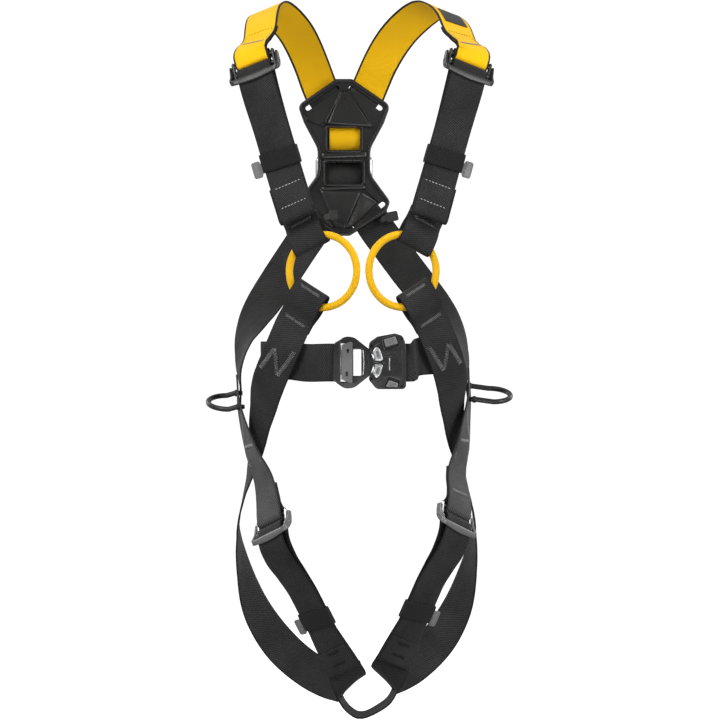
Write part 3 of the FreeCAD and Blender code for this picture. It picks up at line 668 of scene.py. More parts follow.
class Threads:
    """Raised sewing thread, collected into one piece."""

    def __init__(self, name, material):
        self.name, self.material = name, material
        self.points, self.faces = [], []

    def line(self, route, radius=0.38, sides=6):
        """A thread along a list of points, with closed ends."""
        start = len(self.points)
        for i, centre in enumerate(route):
            along = (route[min(i + 1, len(route) - 1)] - route[max(i - 1, 0)]).normalized()
            first = along.orthogonal().normalized()
            second = along.cross(first)
            taper = 0.55 if i in (0, len(route) - 1) else 1.0
            for k in range(sides):
                turn = 2 * math.pi * k / sides
                offset = first * math.cos(turn) + second * math.sin(turn)
                self.points.append(centre + offset * (radius * taper))
        for i in range(len(route) - 1):
            for k in range(sides):
                j = (k + 1) % sides
                a, b = start + i * sides, start + (i + 1) * sides
                self.faces.append((a + k, a + j, b + j, b + k))
        last = start + (len(route) - 1) * sides
        self.faces.append(tuple(start + k for k in reversed(range(sides))))
        self.faces.append(tuple(last + k for k in range(sides)))

    def row(self, strap, start, end, outward, length=2.6, gap=1.1, radius=0.38):
        """A run of separate stitches between two (distance, offset) places."""
        d0, o0 = start
        d1, o1 = end
        span = math.hypot(d1 - d0, o1 - o0)
        for k in range(int(span / (length + gap))):
            near, far = k * (length + gap) / span, (k * (length + gap) + length) / span
            middle = (near + far) / 2
            spots = [(near, -0.25), (middle, 0.25), (far, -0.25)]
            route = [strap.at(d0 + (d1 - d0) * t, o0 + (o1 - o0) * t, outward, lift) for t, lift in spots]
            self.line(route, radius)

    def tack(self, strap, start, end, outward, reach=2.0, pitch=0.95, radius=0.5):
        """A dense zigzag bar tack between two (distance, offset) places."""
        d0, o0 = start
        d1, o1 = end
        span = math.hypot(d1 - d0, o1 - o0)
        side_d, side_o = -(o1 - o0) / span * reach, (d1 - d0) / span * reach
        count = int(span / pitch)
        route = []
        for k in range(count + 1):
            t, way = k / count, (1 if k % 2 else -1)
            spot = (d0 + (d1 - d0) * t + side_d * way, o0 + (o1 - o0) * t + side_o * way)
            route.append(strap.at(*spot, outward, 0.12))
        self.line(route, radius)

    def build(self, slot, body=ROOT):
        return mesh_object(self.name, self.points, self.faces, self.material, body)


def sewn_end(main, fitting, bar_up):
    radius = BAR_RADIUS + RUNNING_GAP + WEB_THICK / 2 + ROLL_FULLNESS
    bar_up = bar_up - ROLL_FULLNESS / 2
    down = smooth(main + [fitting.at(bar_up + 10, radius), fitting.at(bar_up, radius)])
    behind = shifted(down, -fitting.front, LAYER_GAP)
    turn = fitting.bend(bar_up, radius, 0, -180)
    join = [fitting.at(bar_up + 5, -radius), fitting.at(bar_up + 11, radius - LAYER_GAP - 1.6)]
    layer = [frame for frame in reversed(behind) if 18 < (frame[0] - turn[-1][0]).length < 52]
    return down + turn[1:] + join + layer


def adjusted_route(adjuster, keeper, lower, hem):
    """The load layer, the turn over the locking bar, and the free end down to its hem."""
    radius = LOCK_RADIUS + RUNNING_GAP + WEB_THICK / 2 + ROLL_FULLNESS
    half = LAYER_GAP / 2
    heights = (-16, 10, 36)
    load = lower[-1:] + [keeper.at(h, -half) for h in heights]
    load += [adjuster.at(-14, -radius), adjuster.at(0, -radius)]
    tail = [adjuster.at(0, radius), adjuster.at(-14, radius)]
    tail += [keeper.at(h, half) for h in reversed(heights)] + [hem]
    return lower[:-1] + smooth(load) + adjuster.bend(0, radius, 180, 0)[1:-1] + smooth(tail)


def crossing_route(route):
    return stations(-1, route) + list(reversed(stations(1, route)))


def belt_route(side, bar):
    radius = BAR_RADIUS + 2 * RUNNING_GAP + WEB_THICK / 2
    up, away, front = Vector((0, 0, 1)), Vector((side, 0, 0)), Vector((0, -radius, 0))
    sewn = Vector((0, LAYER_GAP + 0.8, 0))
    frames = [(place(side, *spot), up) for spot in BELT_ROUTE]
    frames = smooth(frames + [(bar + away * 9 + front * 0.85, up), (bar + front * 0.97, up)])
    for k in range(1, 7):
        angle = math.pi * k / 6
        frames.append((bar + front * math.cos(angle) - away * radius * math.sin(angle), up))
    return frames + [(bar + away * reach + front + sewn, up) for reach in (8, 13)]


# --- Pieces ------------------------------------------------------------------------------------------------

FRONT = Vector((0, -1, 0))


def make_hem(name, strap, slot, length=42.0, extra=0.0):
    """A doubled hem: the webbing turned back behind its own end, in a soft roll."""
    rows = [row for row in strap.rows if row[3] > strap.length - length]
    frames = [(c, e) for c, e, _, _ in rows][::3]
    if frames[-1][0] != rows[-1][0]:
        frames.append(rows[-1][:2])
    front = shifted(frames, FRONT, 2.1 + extra)
    end, edge = front[-1]
    along = direction_at(front, len(front) - 1)
    normal = square_edge(edge, along).cross(along)
    if normal.dot(FRONT) < 0:
        normal = -normal
    curl = []
    for k in range(1, 10):
        turn = math.radians(30 * k)
        radius = 3.0 + extra - 0.10 * k
        forward, inward = along * (radius * math.sin(turn)), normal * (radius * (1 - math.cos(turn)))
        curl.append((end + forward - inward, edge))
    width, thick = WEB_WIDTH - 0.4 + 2 * extra, 1.9 + 0.6 * extra
    Strap(name, front + curl, width, thick, 1.5, 0.0).build("webbing_black", slot)
    return Strap(name, front, width, thick, 1.5, 0.0)


def make_adjuster(kind, basis, side, material):
    """The cast frame: a curved lip in front, and two tapering arms back to the pins."""
    name = SIDES[side]
    half = [
        (30.6, 13.0, -1.6, 3.0, 1.5), (30.6, 7.0, -1.0, 4.0, 1.7), (30.6, 0.0, 0.2, 4.6, 1.8),
        (30.9, -5.0, 3.2, 4.2, 1.9), (31.0, -8.6, 6.2, 3.4, 1.9), (28.2, -10.4, 7.9, 3.3, 1.6),
        (22.0, -10.9, 8.0, 3.6, 1.5), (12.0, -11.5, 8.1, 4.2, 1.5), (0.0, -11.8, 8.1, 4.5, 1.5),
    ]
    full = half + [(-x, *rest) for x, *rest in reversed(half[:-1])]
    route = [basis.point(x, up, front) for x, up, front, _, _ in full]
    facing = basis.point(0, 0, 1) - basis.point(0, 0, 0)
    lifting = basis.point(0, 1, 0) - basis.point(0, 0, 0)
    wides = []
    for i, (x, *_) in enumerate(full):
        lip = 1.0 if abs(x) < 29 else (0.55 if abs(x) > 30.95 else 0.0)
        wides.append((facing * (1 - lip) + lifting * lip).normalized())
    fine_route, fine_wides, fine_sizes = [], [], []
    for i in range(len(full) - 1):
        for k in range(4):
            t = k / 4
            p0, p1, p2, p3 = (route[max(0, min(len(route) - 1, i + n))] for n in (-1, 0, 1, 2))
            fine_route.append(0.5 * ((2 * p1) + (p2 - p0) * t + (2 * p0 - 5 * p1 + 4 * p2 - p3) * t * t
                                     + (3 * p1 - p0 - 3 * p2 + p3) * t ** 3))
            fine_wides.append(wides[i].lerp(wides[i + 1], t).normalized())
            fine_sizes.append(tuple(full[i][n] * (1 - t) + full[i + 1][n] * t for n in (3, 4)))
    fine_route.append(route[-1])
    fine_wides.append(wides[-1])
    fine_sizes.append(full[-1][3:5])
    frame_piece = Shapes()
    frame_piece.sweep(fine_route, fine_wides, fine_sizes, sides=16, power=3.2)
    for x in (-30.6, 30.6):
        pin = [basis.point(x + d, 0, 0) for d in (-2.4, -2.1, 2.1, 2.4)]
        frame_piece.sweep(pin, [lifting], [(1.6, 1.6), (2.4, 2.4), (2.4, 2.4), (1.6, 1.6)], sides=16, power=2)
    body = kind + "_adjuster_" + name
    finish = "lip_grey" if kind == "leg" else material
    frame_piece.build(kind + "_adjuster_casting_" + name, finish, material, body,
                      [kind + "_adjuster_frame_" + name])
    rods = Shapes()
    for x in (-26.4, 26.4):
        heights = (-5.5, -4.8, -3, 13, 16, 17.4, 18.0)
        radii = (0.8, 1.4, 1.7, 1.7, 1.6, 1.2, 0.5)
        rods.sweep([basis.point(x, up, 0.4) for up in heights], [facing], [(r, r) for r in radii], power=2)
    rods.build(kind + "_adjuster_rods_" + name, "steel_bright", "steel_bright")


PLATE_HALF = [
    (10, 141, 5), (58, 108, 9), (50, 86, 10), (33, 54, 25), (33, 22, 25), (58, -12, 8), (52, -27, 8),
    (7, -55, 4),
]


def make_dorsal_details():
    """The moulded plate's rim, window frames, beams, black panels in the slots that stand in for painted
    shade, and glossy facets.
    """
    details = Shapes()
    outline = PLATE_HALF + [(-x, z, r) for x, z, r in reversed(PLATE_HALF)]
    depth_axis = Vector((0, 1, 0))

    def rib(path, base, wide, deep, closed=True):
        route = [Vector((p[0], base, p[1])) for p in path]
        details.sweep(route, [depth_axis], [(deep, wide)], closed, power=3.5)

    ring = rounded_path(outline)
    inner = []
    for i, p in enumerate(ring):
        along = (ring[(i + 1) % len(ring)] - ring[i - 1]).normalized()
        normal = Vector((-along.y, along.x))
        if normal.dot(Vector((0, 45)) - p) < 0:
            normal = -normal
        inner.append(p + normal * 2.3)
    rib(inner, PLATE_FRONT - 1.0, 2.0, 2.6)
    for low, high, half in ((50, 82, 22.5), (8, 39, 25)):
        frame_corners = [(half, high, 4), (half, low, 4), (-half, low, 4), (-half, high, 4)]
        rib(rounded_path(frame_corners), PLATE_FRONT - 1.4, 1.6, 3.0)
    for path in (
        [(-24, 84), (-14, 104), (-3, 127)], [(36, 80), (24, 103), (5, 127)],
        [(-48, 92), (-33, 84), (-24, 82)],
        [(-30, 4), (-22, -12), (-6, -46)], [(44, -12), (28, 0), (24, 8)],
    ):
        steps = [(path[0][0] * (1 - t) ** 2 + 2 * path[1][0] * t * (1 - t) + path[2][0] * t * t,
                  path[0][1] * (1 - t) ** 2 + 2 * path[1][1] * t * (1 - t) + path[2][1] * t * t)
                 for t in [k / 12 for k in range(13)]]
        rib(steps, PLATE_FRONT - 1.0, 1.1, 3.0, False)
    for low, high in (((-29, 44.5), (29, 46.5)), ((-29, 3.5), (27, 5.5))):
        beam = [
            Vector((
                low[0] + (high[0] - low[0]) * k / 12,
                PLATE_FRONT - 1.6,
                low[1] + (high[1] - low[1]) * k / 12,
            ))
            for k in range(13)
        ]
        details.sweep(beam, [Vector((0, 0, 1))], [(3.6 if low[1] > 40 else 2.2, 2.6)], power=4)
    details.patch([(-3, 126), (-22, 84), (36, 80), (6, 126)], [3.0, 7.5, 4.8, 3.0], PLATE_FRONT, crown=-1.2)
    details.patch([(-31, 2), (-12, -44), (1, -47), (22, 0)], [4.8, 4.8, 7.0, 7.0], PLATE_FRONT, crown=0.4)
    details.patch([(22, 0), (1, -47), (9, -45), (44, -12)], [6.4, 4.8, 2.0, 1.2], PLATE_FRONT, crown=-1.0)
    # Black panels set into the slots, short of their open ends: painted shade where the webbing turns through
    # the slots.
    for side in SIDES:
        for x, z, tilt in ((24.5, 118.7, -35), (28.5, -31.0, 38)):
            slope = math.radians(tilt * side)
            along = Vector((math.cos(slope), 0, math.sin(slope)))
            centre = Vector((side * x, -13.2, z))
            floor = [centre + along * d for d in (-21, -20, 19.5, 20.5)]
            sizes = [(0.5, 3.6), (1.0, 4.4), (1.0, 4.4), (0.5, 3.6)]
            details.sweep(floor, [Vector((0, 1, 0))], sizes, power=4)
    backing = [Vector((x, 2.0, 70)) for x in (-27, -26, 26, 27)]
    details.sweep(backing, [Vector((0, 0, 1))], [(14, 0.4), (15.5, 0.9), (15.5, 0.9), (14, 0.4)], power=6)
    details.build("dorsal_plate_mouldings", "moulded_black", "moulded_black")


def make_side_straps(side):
    """All the webbing of one side, with its stitching."""
    name = SIDES[side]
    lateral_face = Vector((side, -0.6, 0))
    chest = adjuster_basis(side, CHEST_ADJUSTER)
    leg = adjuster_basis(side, LEG_ADJUSTER)
    loop = SternalLoop(side)
    grey_thread = Threads("stitching_grey_" + name, "thread_grey")
    pale_thread = Threads("stitching_pale_" + name, "thread_pale")
    black_thread = Threads("stitching_black_" + name, "thread_black")

    shoulder = Strap("shoulder_webbing_" + name, sewn_end(stations(side, SHOULDER_ROUTE), chest, TOP_BAR_UP))
    shoulder.build("webbing_yellow", "webbing_yellow", ["shoulder_strap_" + name])
    spot = shoulder.nearest(chest.at(TOP_BAR_UP + 27, 2)[0])
    up_front = Vector((0, -1, 0.5))
    grey_thread.tack(shoulder, (spot, -17), (spot, 17), up_front, 1.1)
    for offset in (-17, 17):
        black_thread.row(shoulder, (spot - 22, offset), (spot - 2, offset), up_front)
    black_thread.row(shoulder, (spot - 24, -17), (spot - 24, 17), up_front)

    lateral = Strap("lateral_webbing_" + name, sewn_end(stations(side, LATERAL_ROUTE), leg, TOP_BAR_UP))
    lateral.build("webbing_grey", "webbing_grey", ["lateral_strap_" + name])
    end = lateral.nearest(leg.at(TOP_BAR_UP + 24, 2)[0])
    tacks = ((50, -17, 74, 16), (80, 16, 92, -17), (92, 19, 106, 18), (108, -17, 116, -16))
    for start, offset, stop, other in tacks:
        grey_thread.tack(lateral, (start, offset), (stop, other), lateral_face, 1.9, 1.0)
    grey_thread.tack(lateral, (end, -17), (end, 17), lateral_face, 1.9)

    back = Strap("back_webbing_" + name, smooth(stations(side, BACK_ROUTE)))
    back.build("webbing_black", "webbing_black", ["back_strap_" + name])

    torso_eye = loop.eye(LOWER_EYE)
    torso_frames = torso_eye[:-1] + smooth(torso_eye[-1:] + stations(side, TORSO_ROUTE))
    torso = Strap("torso_webbing_" + name, torso_frames)
    torso.build("webbing_black", "webbing_black", ["torso_strap_" + name, "rear_thigh_strap_" + name])
    tack = torso.nearest(torso_eye[-2][0]) + 6
    grey_thread.tack(torso, (tack, -15), (tack, 15), FRONT, 1.7)
    grey_thread.tack(torso, (tack - 42, -14), (tack - 42, 14), FRONT, 1.5)
    w_start = torso.nearest(place(side, 97, -227, -202)) - 8
    zigzag = ((36, 16), (3, 9), (31, -8), (-4, -16))
    for (d0, o0), (d1, o1) in zip(zigzag, zigzag[1:]):
        grey_thread.tack(torso, (w_start + d0, o0), (w_start + d1, o1), FRONT, 2.5, 0.95, 0.6)

    chest_eye = loop.eye(UPPER_EYE)
    keeper = keeper_basis(chest, chest_eye[-1][0], *CHEST_KEEPER)
    hem = stations(side, [CHEST_HEM])[0]
    chest_strap = Strap("chest_webbing_" + name, adjusted_route(chest, keeper, chest_eye, hem))
    chest_strap.build("webbing_black", "webbing_black", ["chest_strap_" + name])
    eye_tack = chest_strap.nearest(chest_eye[-2][0])
    grey_thread.tack(chest_strap, (eye_tack, -14), (eye_tack, 14), FRONT, 1.7)
    chest_hem = make_hem("chest_hem_" + name, chest_strap, "webbing_black", extra=1.0)
    for back_off in (38.0, 13.0):
        spot = chest_hem.length - back_off
        pale_thread.row(chest_hem, (spot, -18), (spot, 18), FRONT, 3.0, 1.3, 0.42)

    thigh_lower = list(reversed(stations(side, FRONT_THIGH_ROUTE)))
    leg_keeper = keeper_basis(leg, thigh_lower[-1][0], *LEG_KEEPER)
    leg_hem = stations(side, [LEG_HEM])[0]
    thigh = Strap("front_thigh_webbing_" + name, adjusted_route(leg, leg_keeper, thigh_lower, leg_hem))
    thigh.build("webbing_black", "webbing_black", ["front_thigh_strap_" + name])
    leg_hem_piece = make_hem("leg_hem_" + name, thigh, "webbing_black", 30.0)
    for back_off in (24.0, 9.0):
        spot = leg_hem_piece.length - back_off
        black_thread.tack(leg_hem_piece, (spot, -9), (spot, 9), FRONT, 1.6)

    bar = BUCKLE_CENTRE + Vector((-61.0 if side < 0 else 18.0, 0, 0))
    belt = Strap("belt_webbing_" + name, belt_route(side, bar), ripple=0.1)
    belt.build("webbing_black", "webbing_black", ["waist_belt_" + name])
    seam = belt.nearest(bar + Vector((side * 12, -4, 0)))
    black_thread.row(belt, (seam, -19), (seam, 19), FRONT)
    for threads in (grey_thread, pale_thread, black_thread):
        threads.build("webbing_black")
    make_keeper("chest_keeper", keeper, side)
    make_keeper("leg_keeper", leg_keeper, side)
    make_adjuster("chest", chest, side, "steel_black")
    make_adjuster("leg", leg, side, "steel_bright")


def tube_ring(name, centre, axis_x, axis_y, radius, section, material, body, replaced):
    """A woven tube bent into a ring, gathered into wrinkles on its lower outer part."""
    axis_z = axis_x.cross(axis_y)
    around, across = 180, 20
    points, faces, uvs = [], [], []
    for i in range(around):
        turn = 2 * math.pi * i / around
        radial = axis_x * math.cos(turn) + axis_y * math.sin(turn)
        gather = math.exp(-((turn - 5.3) / 0.45) ** 2)
        for k in range(across):
            roll = 2 * math.pi * k / across
            lobe = 1 + 0.02 * math.sin(11 * turn + 2 * roll)
            size = section * lobe * (1 - 0.05 * gather * (1 + math.sin(turn * 90)))
            outward, raised = radial * (radius + size * math.cos(roll)), axis_z * (size * math.sin(roll))
            points.append(centre + outward + raised)
    arc, girth = 2 * math.pi * radius / around, 2 * math.pi * section / across
    for i in range(around):
        for k in range(across):
            n, m = (i + 1) % around, (k + 1) % across
            faces.append((i * across + k, n * across + k, n * across + m, i * across + m))
            uvs += [(i * arc, k * girth), ((i + 1) * arc, k * girth), ((i + 1) * arc, (k + 1) * girth),
                    (i * arc, (k + 1) * girth)]
    mesh_object(name, points, faces, material, body, replaced, uvs)


def make_sternal_loop(side):
    name = SIDES[side]
    loop = SternalLoop(side)
    body = "sternal_loop_" + name
    tube_ring("sternal_webbing_loop_" + name, loop.centre, loop.out, Vector((0, 0, 1)), STERNAL_RADIUS,
              STERNAL_SECTION, "loop_yellow", body, [body])


def make_keeper(kind, basis, side):
    """An elastic band with rounded folds at its sides, and its moulded pull tab."""
    name = SIDES[side]
    body = kind + "_" + name
    outline = []
    width, depth, bend = KEEPER_HALF_WIDTH + KEEPER_SKIN, KEEPER_HALF_DEPTH + KEEPER_SKIN, KEEPER_CORNER
    for cx, cz, first in ((1, 1, 0), (-1, 1, 90), (-1, -1, 180), (1, -1, 270)):
        for k in range(5):
            turn = math.radians(first + 22.5 * k)
            corner_x, corner_z = cx * (width - bend), cz * (depth - bend)
            outline.append((corner_x + bend * math.cos(turn), corner_z + bend * math.sin(turn)))
    count = len(outline)
    rows = 12
    points, faces, uvs = [], [], []
    lengths = [0.0]
    for (x0, z0), (x1, z1) in zip(outline, outline[1:] + outline[:1]):
        lengths.append(lengths[-1] + math.hypot(x1 - x0, z1 - z0))
    for skin in (KEEPER_SKIN, -KEEPER_SKIN):
        for r in range(rows + 1):
            y = -KEEPER_HEIGHT / 2 + KEEPER_HEIGHT * r / rows
            pinch = 0.25 * abs(2 * r / rows - 1) ** 6
            for x, z in outline:
                offset = Vector((x / width, z / depth)).normalized() * (skin - math.copysign(pinch, skin))
                points.append(basis.point(x + offset.x, y, z + offset.y))
    block = (rows + 1) * count
    for layer in (0, 1):
        for r in range(rows):
            for k in range(count):
                j = (k + 1) % count
                quad = [(r, k), (r, j), (r + 1, j), (r + 1, k)]
                quad = quad if layer == 0 else quad[::-1]
                faces.append(tuple(layer * block + a * count + b for a, b in quad))
                uvs += [(lengths[b if not (b == 0 and k == count - 1) else count], a * KEEPER_HEIGHT / rows)
                        for a, b in quad]
    for r in (0, rows):
        for k in range(count):
            j = (k + 1) % count
            quad = [r * count + k, r * count + j, block + r * count + j, block + r * count + k]
            faces.append(tuple(quad[::-1] if r == 0 else quad))
            uvs += [(lengths[k], 0.0)] * 4
    mesh_object(kind + "_elastic_" + name, points, faces, "elastic_black", body,
                [kind + "_band_" + name], uvs)
    make_tab(kind, basis, side)


def make_tab(kind, basis, side):
    """A moulded pull tab with a neck, a rounded outline and a raised border."""
    name = SIDES[side]
    lifting = basis.point(0, 1, 0) - basis.point(0, 0, 0)
    inner = KEEPER_HALF_WIDTH + 0.4
    tab = Shapes()
    stations_out = ((0, 6.0, 0.7), (2.0, 6.2, 0.8), (3.0, 8.6, 1.2), (4.2, 9.9, 1.4), (11.2, 9.9, 1.4),
                    (12.8, 9.2, 1.2), (13.6, 7.6, 0.7))
    route = [basis.point(side * (inner + d), TAB_DROP, 0) for d, _, _ in stations_out]
    tab.sweep(route, [lifting], [(h, t) for _, h, t in stations_out], sides=24, power=6)
    top, foot = TAB_DROP + 8.9, TAB_DROP - 8.9
    border = rounded_path([(11.6, top, 2), (11.6, foot, 2), (4.6, foot, 2), (4.6, top, 2)], 0.8)
    for face in (-1.4, 1.4):
        ridge = [basis.point(side * (inner + p[0]), p[1], face) for p in border]
        tab.sweep(ridge, [basis.front], [(0.35, 0.5)], closed=True, sides=8)
    tab.build(kind + "_pull_tab_" + name, "tab_grey", "tab_grey", kind + "_" + name, [kind + "_tab_" + name])


def make_crossings():
    """The webbing seen through the dorsal plate's windows."""
    across = Vector((1, 0, 0))
    for name, material, width, zs, ys in (
        ("upper_crossing", "webbing_yellow", 41.0,
         (108, 84, 76, 64, 56, 46, 36), (-7, -9, -14, -16, -12, 1, 6.5)),
        ("lower_crossing", "webbing_black", 46.6,
         (-34, 2, 12, 22, 32, 40, 50), (-7, -9, -13, -13, -6, 9.6, 9.6)),
    ):
        frames = [(Vector((0, y, z)), across) for z, y in zip(zs, ys)]
        strap = Strap(name + "_webbing", smooth(frames), width, ripple=0.0)
        strap.build(material, material, [name])


def make_labels():
    """Blank tags: two small ones by the plate's lower end, and a soft patch on the right shoulder."""
    labels = Shapes()
    for x, y, z, tilt, half in ((-11.0, -23.6, -29.0, 12, 7.2), (60.0, -21.0, -31.0, 12, 7.6)):
        slope = math.radians(tilt)
        along = Vector((math.cos(slope), 0.05, math.sin(slope)))
        centre = Vector((x, y, z))
        route = [centre + along * d for d in (-half, -half + 0.6, -half + 2, half - 2, half - 0.6, half)]
        sizes = [(4.6, 0.3), (5.6, 0.55), (6.2, 0.6), (6.2, 0.6), (5.6, 0.55), (4.6, 0.3)]
        labels.sweep(route, [Vector((0, 0, 1))], sizes, sides=24, power=8)
        border = [Vector((centre.x + along.x * p[0] - 0.10 * p[1], y - 0.6, centre.z + along.z * p[0] + p[1]))
                  for p in rounded_path([(half - 1.2, 4.6, 1.6), (half - 1.2, -4.6, 1.6),
                                         (1.2 - half, -4.6, 1.6), (1.2 - half, 4.6, 1.6)], 0.8)]
        labels.sweep(border, [Vector((0, 1, 0))], [(0.25, 0.3)], closed=True, sides=8)
        inner = centre - along * half
        neck = [inner + Vector(step) for step in ((1.5, 0, 0), (0, 0.2, 0), (-5, 2.4, -2), (-9, 4.2, -5))]
        sizes = [(3.6, 0.4), (3.8, 0.5), (3.8, 0.5), (3.6, 0.4)]
        labels.sweep(neck, [Vector((0, 0, 1))], sizes, sides=16, power=6)
    labels.build("blank_tags", "label", "label", ROOT, ["blank_labels"])
    route = smooth(stations(1, SHOULDER_ROUTE))[-6:-2]
    patch = Strap("blank_shoulder_patch", shifted(route, Vector((0, -1, 0.3)), 1.7), 30.0, 0.9, 1.5, 0.0)
    patch.build("label", "label")
    border = Threads("patch_stitching", "thread_grey")
    for offset in (-13.4, 13.4):
        border.row(patch, (2.0, offset), (patch.length - 2.0, offset), Vector((0, -1, 0.3)), 2.0, 1.0, 0.25)
    border.build("label")


# The ribs on each button, and how far a button may be pressed with its well left clear
TEETH = 4
BUTTON_TRAVEL = 2.8

# Outlines of the buckle's parts: corners (x, z, radius) from the buckle's centre
BODY_OUTLINE = [
    (-23, 14, 4), (-22, 24, 5), (-13, 30.5, 6), (8, 34.4, 5), (17.5, 31.5, 7), (21.4, 20, 5),
    (21.4, -31.4, 5), (-13.5, -31.4, 8), (-23, -20, 5), (-21, -13, 3), (-16.5, -9, 5), (-16, 9, 5),
    (-20.5, 11, 3),
]
TONGUE_OUTLINE = [(-62.5, 23, 7), (-51, 31, 13), (-40, 30, 14), (-21, 15, 8), (-16, 0, 14), (-21, -15, 8),
                  (-40, -30, 14), (-51, -31, 13), (-62.5, -23, 7)]
RIM_OUTLINE = [(-65.5, -21, 4), (-63.5, 23.5, 4), (-56.0, 26.5, 2), (-56.0, -26.5, 2)]
PLATE_OUTLINE = [
    (-54.6, 21, 1.5), (-44, 24.6, 1.5), (-41.8, 23.4, 1.0), (-41.8, -23.4, 1.0), (-44, -24.6, 1.5),
    (-54.6, -20, 1.5),
]
BUTTON_OUTLINES = {
    "upper": [(-5.4, 27.2, 1.6), (8.6, 31.2, 1.6), (11.8, 22.4, 1.6), (-2.6, 17.8, 1.6)],
    "lower": [(-3.0, -29.2, 1.6), (1.2, -20.6, 1.6), (12.0, -24.4, 1.6), (11.4, -29.4, 1.6)],
}
JAW_OUTLINE = [(-18.6, 12.5, 3.5), (-14.2, 20.2, 3.0), (-9.2, 15.5, 4), (-5.4, 3.2, 2.0), (-8.6, 1.3, 1.4),
               (-15.6, 1.8, 1.4), (-16.2, 8, 5)]
JAW_FACET = [(-14.6, 15.0, 1.6), (-10.9, 13.4, 1.6), (-8.9, 5.4, 1.4), (-13.3, 6.2, 1.4)]


def outline_points(corners, flip=1):
    """A rounded outline in the buckle's plane, upside down where flip is -1."""
    return [Vector((p[0], flip * p[1])) for p in rounded_path(corners, 0.5)]


def moulding(name, outlines, front, back, rounding):
    """A flat moulding cut to outlines, the first its edge and the rest its windows, with rounded rims."""
    curve = bpy.data.curves.new(name, "CURVE")
    curve.dimensions = "2D"
    curve.fill_mode = "BOTH"
    curve.bevel_depth = rounding * MM
    curve.bevel_resolution = 3
    curve.offset = -rounding * MM
    curve.extrude = ((back - front) / 2 - rounding) * MM
    for outline in outlines:
        spline = curve.splines.new("POLY")
        spline.points.add(len(outline) - 1)
        for point, place_2d in zip(spline.points, outline):
            point.co = (place_2d.x * MM, place_2d.y * MM, 0.0, 1.0)
        spline.use_cyclic_u = True
    holder = bpy.data.objects.new(name, curve)
    holder.location = (BUCKLE_CENTRE + Vector((0, (front + back) / 2, 0))) * MM
    holder.rotation_euler = (math.pi / 2, 0, 0)
    bpy.context.scene.collection.objects.link(holder)
    bpy.context.view_layer.update()
    mesh = bpy.data.meshes.new_from_object(holder)
    mesh.transform(holder.matrix_world)
    bpy.data.objects.remove(holder)
    bpy.data.curves.remove(curve)
    return mesh


def merged_piece(name, meshes, material, body=ROOT, replaced=()):
    """Several meshes welded into one smooth piece, each sharp rim kept crisp."""
    joined = bmesh.new()
    for mesh in meshes:
        joined.from_mesh(mesh)
        bpy.data.meshes.remove(mesh)
    bmesh.ops.remove_doubles(joined, verts=joined.verts, dist=0.01 * MM)
    bmesh.ops.recalc_face_normals(joined, faces=joined.faces)
    whole = bpy.data.meshes.new(name)
    joined.to_mesh(whole)
    joined.free()
    whole.materials.append(MATERIALS[material])
    whole.polygons.foreach_set("use_smooth", [True] * len(whole.polygons))
    whole.set_sharp_from_angle(angle=math.radians(35))
    piece = bpy.data.objects.new(name, whole)
    bpy.context.scene.collection.objects.link(piece)
    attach(piece, body)
    if replaced:
        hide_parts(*replaced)


def buckle_point(x, z, y):
    return BUCKLE_CENTRE + Vector((x, y, z))


def box_outline(x0, x1, z0, z1, radius):
    return [(x0, z1, radius), (x1, z1, radius), (x1, z0, radius), (x0, z0, radius)]


def make_buckle_body():
    """The shell with raised rims round its button wells, a slit and edge ribs, and its rear cover."""
    body = outline_points(BODY_OUTLINE)
    wells = []
    for corners in BUTTON_OUTLINES.values():
        middle_x = sum(corner[0] for corner in corners) / 4
        middle_z = sum(corner[1] for corner in corners) / 4
        well = []
        for x, z, radius in corners:
            inner = abs(z) < abs(middle_z)
            travel = math.copysign(BUTTON_TRAVEL, -middle_z) if inner else 0.0
            well.append((middle_x + 1.10 * (x - middle_x), middle_z + 1.09 * (z - middle_z) + travel, radius))
        wells.append(outline_points(well))
    slit = outline_points(box_outline(1.3, 2.6, -9.5, 6.0, 0.5))
    meshes = [moulding("shell", [body, wells[0], wells[1], slit], -8.0, -3.4, 1.3)]
    meshes.append(moulding("well_floor", [outline_points(BODY_OUTLINE)], -3.6, 8.0, 1.0))
    merged_piece("buckle_body_mouldings", meshes, "moulded_black", ROOT,
                 ["buckle_shell", "buckle_rear_cover"])
    ribs = Shapes()
    for x, low, high in ((20.6, -25.0, 20.5), (16.4, -22.0, 15.0)):
        route = [buckle_point(x, z, -8.0) for z in (low, low + 0.8, (low + high) / 2, high - 0.8, high)]
        sizes = [(0.3, 0.2), (0.7, 0.45), (0.7, 0.45), (0.7, 0.45), (0.3, 0.2)]
        ribs.sweep(route, [Vector((1, 0, 0))], sizes)
    for sign in (1, -1):
        bow = []
        for k in range(13):
            turn = math.radians(95 + 6 * k)
            bow.append(buckle_point(-7.5 + 9.5 * math.cos(turn), sign * (11.0 + 12.0 * math.sin(turn)), -8.0))
        ribs.sweep(bow, [Vector((0, 1, 0))], [(0.4, 0.6)] + [(0.7, 0.9)] * 11 + [(0.4, 0.6)])
    stem = [buckle_point(x, -0.8, -8.2) for x in (-15.5, -14.8, -9, -4.8, -4.2)]
    ribs.sweep(stem, [Vector((0, 0, 1))], [(0.5, 0.5), (1.2, 1.0), (1.2, 1.0), (2.4, 1.0), (1.6, 0.5)])
    ribs.build("buckle_body_ribs", "moulded_black", "moulded_black")
    slot = Shapes()
    slot.sweep([buckle_point(1.9, z, -6.6) for z in (-9.2, -8.8, 5.4, 5.8)], [Vector((1, 0, 0))],
               [(0.4, 0.3), (0.6, 0.5), (0.6, 0.5), (0.4, 0.3)], sides=10)
    slot.build("buckle_slit_spring", "steel_bright", "steel_bright")


